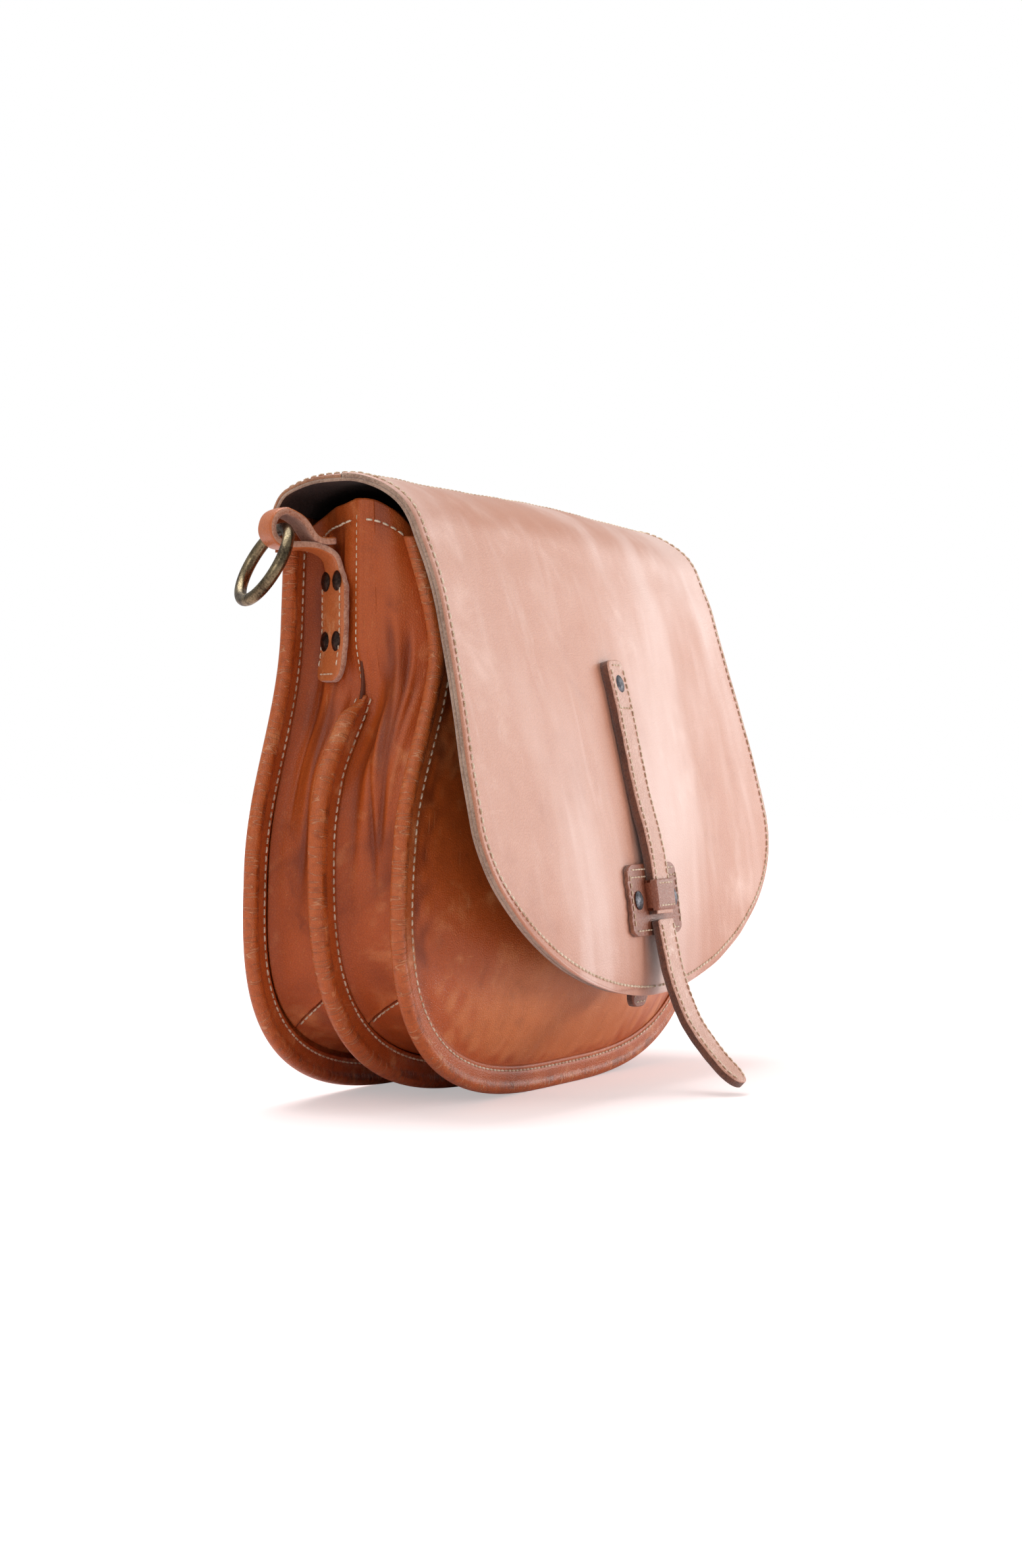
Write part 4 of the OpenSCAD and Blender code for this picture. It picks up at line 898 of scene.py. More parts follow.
FLAP, FLAP_LINING, YOKE, HINGE_Z, YOKE_H = 2.4, 1.6, 1.8, 264, 62
roll_r = (FLAP + FLAP_LINING) / 2
hinge_y = seam_plane(REAR, HINGE_Z) + LEATHER + YOKE / 2
yoke_half = neck_half_w - cheek_d[REAR] - sewn_gap
yoke_high = HINGE_Z - roll_r - 1.5
yoke_low, yoke_row_in, yoke_row_gap, yoke_corner = yoke_high - YOKE_H, 4.5, 5, 9
yoke_leather = leather("yoke_leather", rgb(120, 60, 30), rgb(190, 104, 56), rgb(232, 166, 118), cloud=17,
                       scratches=0.9, gloss=0.36)


def yoke_y(z):
    """Where the yoke's inner face lies at a height, against the outside of the leaning back panel."""
    return seam_plane(REAR, z) + LEATHER + 0.1


def yoke_side(x):
    """A stitch row up the yoke at a place across."""
    z = np.linspace(yoke_low + 8, yoke_high - 5, 40)
    path = np.stack([np.full_like(z, x), yoke_y(z) + YOKE, z], -1)
    return path, np.broadcast_to([0.0, 1.0, 0.0], path.shape)


flat_leaf("back_yoke_leather", yoke_half, yoke_low, yoke_high, yoke_y, YOKE, yoke_leather,
          ["back_yoke"], corner=yoke_corner)
low_rows = [yoke_low + yoke_row_in, yoke_low + yoke_row_in + yoke_row_gap]
yoke_rows = [level_row(yoke_half - 10, z, yoke_y(z) + YOKE, 1, 80) for z in low_rows]
yoke_rows += [yoke_side(-yoke_half + yoke_row_in), yoke_side(yoke_half - yoke_row_in)]
sew("back_yoke_stitches", yoke_rows, cream_thread, "bag", "yoke_leather")

# Hinge. A thin strip, caught under the yoke's last row of stitches, runs up over the hinge line into the
# flap. It is left on no body.
strip_t, strip_half, strip_low, strip_high = 0.9, 157, 251, 269
hinge_z = np.linspace(strip_low, strip_high, 26)[:, None]
hinge_x = np.linspace(-strip_half, strip_half, 121)[None, :]
hinge_out = mix(seam_plane(REAR, strip_low) + LEATHER + YOKE + 0.15, hinge_y + roll_r + 0.1,
                smooth((hinge_z - strip_low - 3) / 9))
strip_y = hinge_out - strip_t * smooth((hinge_z - HINGE_Z) / 12)
strip = np.stack(np.broadcast_arrays(hinge_x, strip_y, hinge_z), -1)
points, faces, _, _ = shell(strip + [0, strip_t, 0], strip)
hinge_strip = make_piece("hinge_strip_leather", points, faces, [yoke_leather], None)
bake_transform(hinge_strip)

# Flap. A heavy leather cut with bare edges and lined with suede. It starts at the hinge line behind the
# mouth, arches over the bag and hangs down the front in one long curve.
TOP_HALF, FLAP_HALF, WIDE_Z, HEM_Z, RIDGE_Z, REACH = 163, 174, 130, 46, 285.5, 122
flap_power, flap_seed, arch_points, front_points = 1.84, 71, 60, 40
flap_shares = np.array([
    [0, 0.913], [0.011, 0.944], [0.056, 0.974], [0.16, 0.994], [0.273, 1], [0.37, 0.998], [0.471, 0.98],
    [0.554, 0.951], [0.604, 0.917], [0.639, 0.874], [0.691, 0.806], [0.759, 0.679], [0.824, 0.553],
    [0.882, 0.426], [0.937, 0.3], [0.977, 0.175], [0.998, 0.071], [1, 0.025], [0.996, 0]])


def curve(points, steps):
    """A Catmull-Rom curve: between each two points a cubic whose slope at a point is half the step from
    the point before it to the point after it."""
    p = np.asarray(points, float)
    a, b = np.concatenate([p[:1], p[:-2]]), p[:-1]
    c, d = p[1:], np.concatenate([p[2:], p[-1:]])
    t = (np.arange(steps) / steps)[None, :, None]
    a, b, c, d = a[:, None], b[:, None], c[:, None], d[:, None]
    line = (2 * b + (c - a) * t + (2 * a - 5 * b + 4 * c - d) * t * t + (3 * b - a - 3 * c + d) * t ** 3) / 2
    return np.concatenate([line.reshape(-1, p.shape[1]), p[-1:]])


def spaced(line, count):
    """The same line by count points at even steps of its length."""
    run = lengths(line)
    places = np.linspace(0, run[-1], count)
    return np.stack([np.interp(places, run, line[:, k]) for k in range(line.shape[1])], -1)


flap_start = hinge_y + roll_r
flap_side_points = [flap_start - flap_shares[:, 0] * REACH, mix(HEM_Z, RIDGE_Z, flap_shares[:, 1])]
flap_side_line = curve(np.stack(flap_side_points, -1), 8)
flap_run = lengths(flap_side_line)
seam_run = np.interp(-(flap_start - 0.3 * REACH), -flap_side_line[:arch_points, 0], flap_run[:arch_points])


def front_run_at(z):
    """The run at which the flap's side line passes a height on its front."""
    return np.interp(-z, -flap_side_line[front_points:, 1], flap_run[front_points:])


def lower_heights(lowest, count):
    """Heights from the flap's widest place down to its hem, closer together near the hem: with t from 0
    to 1 the height falls by sin(90 t) to the power 2 / flap_power, so the edge's points are even."""
    share = np.linspace(0, 1, count)
    return mix(WIDE_Z, lowest, np.sin(share * math.pi / 2) ** (2 / flap_power))


def flap_half_at(y, z):
    """The flap's half width: a superellipse quarter below its widest height, half a cosine wave from there
    to the top, and the top's own width behind the ridge."""
    low = np.clip((WIDE_Z - z) / (WIDE_Z - HEM_Z), 0, 1)
    narrowed_z = 236
    high = np.clip((z - WIDE_Z) / (narrowed_z - WIDE_Z), 0, 1)
    side = mix(TOP_HALF, FLAP_HALF, (1 + np.cos(math.pi * high)) / 2)
    return np.where(z < WIDE_Z, FLAP_HALF * (1 - low ** flap_power) ** (1 / flap_power), side)


def flap_point(run, across, out):
    """A point of the flap: its side line at a run from the hinge, at a share of the half width, and out
    millimetres in front of its outer face. The right end of the arch sags by a slow step."""
    y, z = (np.interp(run, flap_run, flap_side_line[:, k]) for k in (0, 1))
    slopes = [np.gradient(flap_side_line[:, k], flap_run) for k in (0, 1)]
    tangent = np.stack([np.interp(run, flap_run, slope) for slope in slopes], -1)
    tangent /= np.linalg.norm(tangent, axis=-1, keepdims=True)
    normal = np.stack([tangent[..., 1], -tangent[..., 0]], -1)
    half = np.where(run < seam_run, TOP_HALF, flap_half_at(y, z))
    x, y, z, ny, nz = np.broadcast_arrays(half * across, y, z, normal[..., 0], normal[..., 1])
    points = np.stack([x, y + out * ny, z + out * nz], -1)
    arch = np.exp(-((run - 75) / 60) ** 2)
    points[..., 2] -= 5.0 * arch * smooth((points[..., 0] - 20) / 150) * smooth(run / 25)
    return points


def flap_waves(points):
    """Outward push of the flap's leather in millimetres: slow swells and smaller ones on them."""
    stretched = points * [1, 0.6, 0.5]
    return 0.55 * ripple(stretched, 120, flap_seed) + 0.22 * ripple(points, 34, flap_seed + 1)


groove_at, waves_from = 4.4, 30


def layer(name, start, end, top_out, low_out, materials, nodes, rows, columns=121, round_edge=0.7,
          groove=True):
    """One layer of the flap between two runs: an outer and an inner grid joined by a bare edge. The outer
    face sinks by the square of its nearness to the edge, so the cut edge is softly rounded, and a
    shallow furrow lies where the edge stitches pull the leather in."""
    across = np.linspace(-1, 1, columns)[None, :]
    run = np.linspace(start, end, rows)
    hemmed = end == flap_run[-1]
    if hemmed:
        straight = np.linspace(start, front_run_at(WIDE_Z), rows - rows // 2 + 1)[:-1]
        run = np.concatenate([straight, front_run_at(lower_heights(HEM_Z + 0.05, rows // 2))])
    run = run[:, None]
    outer = flap_point(run, across, top_out)
    inner = flap_point(run, across, low_out)
    y, z = (np.interp(run, flap_run, flap_side_line[:, k]) for k in (0, 1))
    half = np.where(run < seam_run, TOP_HALF, flap_half_at(y, z))
    edge_gap = (1 - abs(across)) * half
    if hemmed:
        edge_gap = np.minimum(edge_gap, np.maximum(flap_run[-1] - run, 0))
    push = flap_waves(outer)[..., None]
    facing = outer - flap_point(run, across, top_out - 1)
    outer = outer + facing * push * smooth(run[..., None] / waves_from)
    inner = inner + facing * push * smooth(run[..., None] / waves_from)
    sink = round_edge * np.clip(1 - edge_gap / 1.6, 0, 1) ** 2
    outer = outer - facing * sink[..., None]
    if groove:
        outer = outer - facing * (0.2 * np.exp(-((edge_gap - groove_at) / 0.7) ** 2))[..., None]
    points, faces, far, strip = shell(outer, inner)
    face_material = np.concatenate([np.zeros(2 * far), np.ones(strip)])
    # The mark paints shade into the stitch furrow and into the dips of the waves, and pales their swells as
    # bent pull-up leather does
    bend_pale_and_painted_light = -np.exp(-((edge_gap - groove_at) / 0.9) ** 2) + 0.3 * np.clip(push[..., 0], -1, 1)
    return make_piece(name, points, faces, materials, "flap", nodes, face_material=face_material,
                      marks={"bend_pale_and_painted_light": both_sides(bend_pale_and_painted_light)})


def highlight_streaked(stretch, strength, tone):
    """Adds long soft streaks of painted highlight, a paler tone that runs down the flap, on a noise drawn out
    along Z.
    """
    def rework(tree, place, colour, height):
        """Gives the colour with its painted highlight streaks, and the height as it was."""
        long = add(tree, "ShaderNodeMapping", {"Vector": place, "Scale": stretch,
                                               "Rotation": (0.0, 0.35, 0.0)}).outputs[0]
        bands = ranged(tree, noise(tree, long, 9.0, 4, 0.55, 0.4), 0.42, 0.68)
        fine = ranged(tree, noise(tree, long, 40.0, 3, 0.6, 0.5), 0.5, 0.75)
        pale = plus(tree, times(tree, bands, strength), times(tree, fine, strength * 0.3))
        return blended(tree, pale, colour, tone), height
    return rework


# The flap's streaks are painted highlights: a pale pink sheen drawn out down the flap
highlight_streaks = highlight_streaked((1.0, 1.0, 0.22), 0.65, rgb(250, 220, 210))
flap_leather = leather("flap_leather", rgb(178, 104, 70), rgb(206, 138, 106), rgb(238, 192, 172), cloud=7,
                       pore=700, scratches=0.35, gloss=0.42, coat=0.35, sheen=0.15, extra=highlight_streaks)


def raw_edge(name, dark, light, fuzz=0.4):
    """The bare cut edge or flesh side of a hide: a matt felt of fibres."""
    material, tree = node_tree(name)
    place = coordinates(tree)
    felt = noise(tree, place, 900.0, 5, 0.7, 0.8)
    tone = noise(tree, place, 60.0, 3)
    mixed = plus(tree, times(tree, felt, 0.6), times(tree, tone, 0.4))
    principled(tree, blended(tree, ranged(tree, mixed, 0.35, 0.65), dark, light),
               ranged(tree, felt, 0.2, 0.8, 0.95, 0.8), felt, 0.0006, Sheen_Weight=fuzz, Sheen_Roughness=0.6)
    return material


flap_edge = raw_edge("flap_edge", rgb(146, 110, 88), rgb(204, 172, 148))
yoke_edge = raw_edge("yoke_edge", rgb(150, 92, 58), rgb(206, 150, 110))
suede = raw_edge("flap_suede", rgb(40, 30, 28), rgb(74, 56, 50), fuzz=0.05)
layer("flap_leather", seam_run, flap_run[-1], 0.0, -FLAP, [flap_leather, flap_edge],
      ["flap_panel"], 190, 141)
layer("flap_yoke_leather", 0.0, seam_run + 0.3, -0.5, -FLAP - 0.1, [yoke_leather, yoke_edge],
      ["flap_yoke"], 60)
layer("flap_suede_lining", 4.0, flap_run[-1], -FLAP - 0.05, -FLAP - FLAP_LINING, [suede, flap_edge],
      ["flap_lining"], 190, round_edge=0.0, groove=False)

# Ridge. Above its welt the middle seam is turned in, and the two gussets' leathers run over it as one
# soft ridge. Both mouths' ends are hemmed.
middle_shares = np.linspace(0, 1, 900)
middle_heights = rim_outline(MIDDLE, middle_shares, rim_top_z[MIDDLE])[1]
ridge_low, ridge_rows = np.interp(welt_end_z - 7, middle_heights, middle_shares), 90
for side, side_name in ((-1, "left"), (1, "right")):
    share = side * np.linspace(ridge_low, 1, ridge_rows)
    behind = gusset((REAR, MIDDLE), share, np.linspace(0.80, 1, 9))
    before = gusset((MIDDLE, FRONT), share, np.linspace(0, 0.17, 9))
    over = np.linspace(0, 1, 9)[1:-1][None, :, None]
    middle = mix(behind[:, -1:], before[:, :1], over)
    middle[..., 0] += side * 0.9 * np.sin(math.pi * over[..., 0])
    strip = np.concatenate([behind, middle, before], 1)
    place = np.linspace(0, 1, strip.shape[1])[None, :]
    lift = 0.75 * np.minimum(smooth(place * 3.2), smooth((1 - place) * 3.2)) - 0.25
    ends = smooth(np.linspace(0, 1, ridge_rows) * 9)[:, None]
    strip[..., 0] += side * (lift * ends - (1 - ends) * 0.7)
    strip[..., 0] += side * 0.35 * ripple(strip * [1, 1, 0.4], 14, 81) * ends
    points, faces, _, _ = shell(strip, strip - [side * 1.5, 0, 0])
    make_piece(f"ridge_{side_name}_leather", points, faces, [bag_leather], "bag")


def ridge_row(side):
    """The ridge's own seam: its stitches run up the middle, a little behind the crest."""
    share = side * np.linspace(ridge_low + 0.012, 0.985, 80)
    path = gusset((REAR, MIDDLE), share, np.array([0.97, 1.0]))[:, 1]
    path[:, 0] += side * 0.95
    path[:, 1] -= 1.2
    return path, np.broadcast_to([float(side), 0.25, 0.0], path.shape)


sew("ridge_stitches", [ridge_row(-1), ridge_row(1)], cream_thread, "bag", "bag_leather", pitch=3.4,
    long=2.4, thick=0.7)


def gusset_row(rims, side, z, lift):
    """A stitch path across a gusset at a height of the middle rim, and the way its leather faces there."""
    share = side * np.interp(z + np.array([-2.0, 0.0, 2.0]), middle_heights, middle_shares)
    across = np.linspace(0.01, 0.99, 50)
    grid = gusset(rims, share, across, lift)
    facing = along_normals(grid, grid * [1, 0, 0])
    past_ridge = across - 0.76 if rims[0] == REAR else 0.22 - across
    over_ridge = 0.9 * smooth(past_ridge / 0.06)
    return grid[1] + facing[1] * (lift + over_ridge)[:, None], facing[1]


hem_rows = [gusset_row(rims, side, rim_top_z[MIDDLE] - 9.5, lift=0.75)
            for rims in ((REAR, MIDDLE), (MIDDLE, FRONT)) for side in (-1, 1)]
sew("gusset_hem_stitches", hem_rows, cream_thread, "bag", "bag_leather")

# Flap seams. One row of stitches runs inside the flap's bare edge, and two rows join the front leather
# to the yoke across the top of the arch.


def on_flap(run, share, out):
    """A stitch path on the flap, moved with its waves, and the way that the leather faces there."""
    path = flap_point(run, share, out)
    facing = flap_point(run, share, 1) - flap_point(run, share, 0)
    return path + facing * (flap_waves(path) * smooth(run / waves_from))[:, None], facing


def flap_edge_row(inset, side):
    """The path inset millimetres inside the flap's side and lower edge, by shrinking its half width and
    stopping above the hem."""
    low_run = front_run_at(lower_heights(HEM_Z + inset, 200)[:-1])
    run = np.concatenate([np.linspace(5, low_run[0], 260)[:-1], low_run])
    y, z = (np.interp(run, flap_run, flap_side_line[:, k]) for k in (0, 1))
    drop = np.clip((WIDE_Z - z) / (WIDE_Z - HEM_Z - inset), 0, 1)
    low_half = (FLAP_HALF - inset) * np.maximum(1 - drop ** flap_power, 0) ** (1 / flap_power)
    half = np.where(z < WIDE_Z, low_half, flap_half_at(y, z) - inset)
    half = np.where(run < seam_run, TOP_HALF - inset, half)
    full = np.where(run < seam_run, TOP_HALF, flap_half_at(y, z))
    return on_flap(run, side * np.clip(half / np.maximum(full, 1), 0, 1), 0.1)


def flap_cross_row(past_seam):
    """A row across the flap's arch, at a distance in front of the seam between yoke and front."""
    share = np.linspace(-0.975, 0.975, 200)
    return on_flap(np.full_like(share, seam_run + past_seam), share, -0.05)


sew("flap_edge_stitches", [flap_edge_row(groove_at, -1), flap_edge_row(groove_at, 1)], cream_thread, "flap",
    "flap_leather", thick=1.25)
sew("flap_seam_stitches", [flap_cross_row(3.5), flap_cross_row(9)], cream_thread, "flap", "flap_leather")

# Closure strap. A thick strap of the flap's leather, riveted and sewn on at its top. It lies down the
# flap, climbs onto the patch and meets the loose tail in the keeper.


def rounded_half(run, half, low_r=0.0, high_r=0.0):
    """A strap's half width along its run, drawn in on a circle at its first and its last end."""
    width = np.full_like(run, half)
    for gap, r in ((run - run[0], low_r), (run[-1] - run, high_r)):
        if r:
            inset = np.clip(r - gap, 0, r)
            width = width - r + np.sqrt(np.maximum(r ** 2 - inset ** 2, 0))
    return np.maximum(width, 0.05)


def side_normals(line):
    """Unit normals of a side line in (y, z): its tangent turned, facing outward on a line that goes down
    the front of the bag."""
    tangent = np.gradient(line, axis=0)
    tangent /= np.linalg.norm(tangent, axis=1)[:, None]
    return np.stack([tangent[:, 1], -tangent[:, 0]], -1)


def strap_leaf(line, half, low_out, high_out, columns=23, crown=0.25, round_edge=0.55, wave=0.12, seed=90):
    """A strap carried along a side line: its face is crowned a little, its long edges are rounded over
    and worn wavy. Gives its points, faces, and each face's material: 0 in front, 1 on the cut edges and
    2 behind."""
    across = np.linspace(-1, 1, columns)
    across = np.sign(across) * (1 - (1 - abs(across)) ** 1.5)
    normal = side_normals(line)
    row = np.arange(len(line))
    edge_wave = 1 + 0.012 * np.sin(row * 0.31 + seed) + 0.01 * np.sin(row * 0.083 + seed)
    x = (half * edge_wave)[:, None] * across
    gap = half[:, None] - abs(x) / edge_wave[:, None]
    near_edge = np.clip(1 - gap / 1.3, 0, 1)
    rise = crown * (1 - across[None, :] ** 2) - round_edge * near_edge ** 2
    base = np.stack(np.broadcast_arrays(x, line[:, None, 0], line[:, None, 1]), -1)
    facing = np.stack(np.broadcast_arrays(0 * x, normal[:, None, 0], normal[:, None, 1]), -1)
    rise = rise + wave * ripple(base, 13, seed)
    outer = base + facing * (high_out + rise)[..., None]
    inner = base + facing * (low_out + 0.4 * round_edge * near_edge[..., None])
    points, faces, far, strip = shell(outer, inner)
    return points, faces, np.concatenate([np.zeros(far), np.full(far, 2), np.ones(strip)])


def strap_rows(line, half, out, rows, trim, inset=2.4):
    """The stitch paths along both edges of a strap, inset from them, and across it at the given runs."""
    run = lengths(line)
    normal = side_normals(line)
    keep = (run >= trim[0]) & (run <= run[-1] - trim[1])
    paths = []
    for side in (-1, 1):
        x = side * np.maximum(half - inset, 0)[keep]
        path = np.stack([x, line[keep, 0] + normal[keep, 0] * out, line[keep, 1] + normal[keep, 1] * out], -1)
        paths.append((path, np.stack([0 * x, normal[keep, 0], normal[keep, 1]], -1)))
    for at in rows:
        y, z = (np.interp(at, run, line[:, k]) for k in (0, 1))
        ny, nz = (np.interp(at, run, normal[:, k]) for k in (0, 1))
        reach = max(np.interp(at, run, half) - inset, 0.5)
        x = np.linspace(-reach, reach, 12)
        path = np.stack([x, np.full_like(x, y + ny * out), np.full_like(x, z + nz * out)], -1)
        paths.append((path, np.broadcast_to([0.0, ny, nz], path.shape)))
    return paths


def strap_piece(node, line, half, faces_out, leathers, body, slot, stitch_out, rows, trim, pitch, thick,
                **leaf):
    """A strap's leather along its side line, in place of its node, and the stitches round it."""
    points, faces, kind = strap_leaf(line, half, *faces_out, **leaf)
    make_piece(f"{node}_leather", points, faces, leathers, body, [node], face_material=kind)
    seams = strap_rows(line, half, stitch_out, rows, trim)
    sew(f"{node}_stitches", seams, cream_thread, body, slot, pitch=pitch, long=2.8, thick=thick)


STRAP_W, STRAP, PATCH_Z, PATCH_H, PATCH, KEEPER_Z, KEEPER_H, KEEPER = 19, 4, 75, 34, 2.2, 11.5, 14.5, 1.7
strap_leather = leather("strap_leather", rgb(164, 108, 86), rgb(212, 160, 138), rgb(244, 212, 196), cloud=40,
                        pore=520, scratches=0.6, gloss=0.4, coat=0.3, grain=0.0004)
strap_edge = raw_edge("strap_edge", rgb(84, 46, 30), rgb(134, 80, 54))
front_line = flap_side_line[flap_run > seam_run]
front_line = front_line[np.argmax(front_line[:, 1]):]
tail_axis_z = PATCH_Z + KEEPER_Z - STRAP


def flap_y_at(z):
    """Where the flap's front side line lies at a height."""
    return np.interp(-z, -front_line[:, 1], front_line[:, 0])


def on_front(z_high, z_low, out, count):
    """The flap's front side line between two heights, moved out of the face; out may be an array."""
    z = np.linspace(z_high, z_low, count)
    line = np.stack([flap_y_at(z), z], -1)
    return line + side_normals(line) * np.broadcast_to(out, (count,))[:, None]


strap_top, row_in = 206, 2.6
strap_z = np.linspace(strap_top, tail_axis_z + STRAP / 2 + 0.3, 220)
climb = PATCH * smooth((PATCH_Z + PATCH_H + 40 - strap_z) / 40)
strap_line = on_front(strap_z[0], strap_z[-1], climb + STRAP / 2 + 0.15, 220)
strap_run = lengths(strap_line)
strap_half = rounded_half(strap_run, STRAP_W / 2, 4.5)
strap_piece("closure_strap", strap_line, strap_half, (-STRAP / 2, STRAP / 2 + 0.5),
            [strap_leather, strap_edge, suede], "flap", "strap_leather", STRAP / 2 + 0.8, (row_in, 24),
            (4, 1), 3.4, 0.95, seed=91)

# Tail. The strap's loose end is pulled through the keeper and hangs free in a slow curve, down to a
# round tip above the table. It swings at the keeper.
TAIL_REACH, TAIL_LOW = 42, 5
tail_axis_y = flap_y_at(tail_axis_z) - PATCH - STRAP / 2 - 0.6
tail_shares = np.array([[0, 1], [0.06, 0.86], [0.17, 0.63], [0.37, 0.38], [0.67, 0.17], [1, 0]])
tail_points = [tail_axis_y - tail_shares[:, 0] * TAIL_REACH, mix(TAIL_LOW, tail_axis_z, tail_shares[:, 1])]
tail_line = spaced(curve(np.stack(tail_points, -1), 30), 200)
tail_run = lengths(tail_line)
tail_half = rounded_half(tail_run, STRAP_W / 2, 1.5, STRAP_W / 2)
strap_piece("strap_tail", tail_line, tail_half, (-STRAP / 2, STRAP / 2), [strap_leather, strap_edge, suede],
            "tail", "strap_leather", STRAP / 2 + 0.3, (), (1, 2.2), 3.4, 1.0, seed=92)

# Patch and keeper. A patch of four-cornered leather is sewn and riveted to the flap, and carries the
# loop that keeps the tail down.
patch_leather = leather("patch_leather", rgb(112, 58, 38), rgb(156, 94, 70), rgb(208, 152, 130), cloud=30,
                        pore=560, scratches=0.7, gloss=0.38, coat=0.3, grain=0.00035)
patch_edge = raw_edge("patch_edge", rgb(110, 62, 40), rgb(176, 116, 84))
patch_line = on_front(PATCH_Z + PATCH_H, PATCH_Z, PATCH / 2 + 0.1, 120)
patch_run = lengths(patch_line)
patch_half = rounded_half(patch_run, 30, 6, 6)
strap_piece("strap_patch", patch_line, patch_half, (-PATCH / 2, PATCH / 2),
            [patch_leather, patch_edge, suede], "flap", "patch_leather", PATCH / 2 + 0.25,
            (row_in, 6.2, patch_run[-1] - row_in), (3.5, 3.5), 3.6, 0.8, columns=61, crown=0.1, seed=93)


def keeper(z_low, high, half, rise, thick):
    """A loop over the strap: its path across starts flat on the patch, climbs a rounded side, runs over
    the top and comes down again; it is repeated row by row up its height, on the flap's own curve."""
    corner = np.linspace(0, math.pi / 2, 8)
    r = min(3.0, rise * 0.6)
    up_x = np.r_[[half, half], half - r + r * np.cos(corner)]
    up_out = np.r_[[0.0, rise - r], rise - r + r * np.sin(corner)]
    up = np.stack([up_x, up_out], -1)
    path = np.concatenate([up, (up * [-1, 1])[::-1]])[::-1]
    step = np.gradient(path, axis=0)
    step /= np.maximum(np.linalg.norm(step, axis=1), 1e-9)[:, None]
    out = np.stack([-step[:, 1], step[:, 0]], -1)
    rows = 30
    line = on_front(z_low + high, z_low, PATCH, rows)
    normal = side_normals(line)
    from_end = np.minimum(np.arange(rows), rows - 1 - np.arange(rows))
    roll = 0.45 * (1 - np.clip(from_end / 3, 0, 1)) ** 2
    grids = []
    for off in (0.0, -thick):
        flat = path + out * off
        press = (roll if off == 0 else 0 * roll)[:, None]
        x = flat[None, :, 0] - out[None, :, 0] * press
        n = flat[None, :, 1] - out[None, :, 1] * press
        grids.append(np.stack(np.broadcast_arrays(x, line[:, None, 0] + normal[:, None, 0] * n,
                                                  line[:, None, 1] + normal[:, None, 1] * n), -1))
    return grids, line, normal


keeper_rise = STRAP + 0.3 + 2.0
(outer, inner), keeper_line, keeper_normal = keeper(PATCH_Z + KEEPER_Z, KEEPER_H, STRAP_W / 2 + 0.6 + KEEPER,
                                                    keeper_rise, KEEPER)
points, faces, far, strip = shell(outer, inner)
make_piece("strap_keeper_leather", points, faces, [patch_leather, patch_edge, suede], "flap",
           ["strap_keeper"],
           face_material=np.concatenate([np.zeros(far), np.full(far, 2), np.ones(strip)]))
keeper_rows = []
for row in (4, 25):
    x = np.linspace(-9.5, 9.5, 20)
    centre = keeper_line[row] + keeper_normal[row] * (keeper_rise + 0.05)
    keeper_rows.append((np.stack([x, np.full(20, centre[0]), np.full(20, centre[1])], -1),
                        np.broadcast_to([0.0, *keeper_normal[row]], (20, 3))))
sew("strap_keeper_stitches", keeper_rows, cream_thread, "flap", "patch_leather", pitch=3.4, long=2.7,
    thick=0.8)

# Snap tab. A short double tab is sewn to the front panel under the flap, and carries the lower half of
# the snap that the closure clicks onto.
TAB_TOP, TAB_FREE, TAB_LOW, SNAP_HALF, snap_gap = 104, 60, 40, 1.1, 0.3
tab_under, tab_t = FLAP + FLAP_LINING + 2 * SNAP_HALF + 6 * snap_gap, 2 * LEATHER


def swell_at(z):
    """Where the front panel's belly lies at a height on the middle plane."""
    share = (SWELL_Z - z) / (SWELL_Z - cheek_d[FRONT])
    return mix(-front_gap - SWELL, seam_plane(FRONT, cheek_d[FRONT]) - rim_stack[FRONT] / 2, share ** 2.2)


tab_points = [[swell_at(z) - tab_t / 2 - 0.6, z] for z in (TAB_TOP, TAB_TOP - 10)]
tab_points += [[flap_y_at(TAB_FREE) + tab_under + tab_t / 2, TAB_FREE],
               [flap_y_at(HEM_Z + 0.01) + tab_under + tab_t / 2, TAB_LOW]]
tab_line = spaced(curve(tab_points, 20), 120)
tab_run = lengths(tab_line)
tab_half = rounded_half(tab_run, STRAP_W / 2, 0.5, 6)
strap_piece("snap_tab", tab_line, tab_half, (-tab_t / 2, tab_t / 2 - 0.15),
            [patch_leather, strap_edge, suede], "bag", "patch_leather", tab_t / 2 - 0.05,
            (row_in, 10.0, tab_run[-1] - row_in), (2, 3.5), 3.6, 0.8, crown=0.1, seed=94)

# Anchors. On each flank a tab of thick leather with bare fuzzy edges is sewn and riveted to the rear
# gusset. Its narrowed end is folded round a ring and tucked back under itself.
ANCHOR, ANCHOR_W, LOOP_W, LOOP_Z, LOOP_OUT, LOOP_D, BEND = 2.8, 25, 15, 260.5, 28, 12, 12
flank_v = np.array([0.3, 0.78])
flank_y = mix(seam_plane(REAR, shoulder_z) - rim_stack[REAR] / 2,
              seam_plane(MIDDLE, rim_top_z[MIDDLE]) + rim_stack[MIDDLE] / 2, flank_v)
flank_depth = np.array([fold_depth, mix(ridge_depth, fold_depth, 0.18)])
flank_turn = math.atan2(flank_y[0] - flank_y[1], flank_depth[0] - flank_depth[1])
anchor_share = 0.8
anchor_place = np.array([mix(*flank_depth, anchor_share) - neck_half_w, mix(*flank_y, anchor_share), 0])
loop_r, anchor_mid = LOOP_D / 2 + ANCHOR / 2, 0.8 + ANCHOR / 2
flank_axes = np.array([[math.cos(flank_turn), math.sin(flank_turn), 0],
                       [-math.sin(flank_turn), math.cos(flank_turn), 0],
                       [0, 0, 1]])


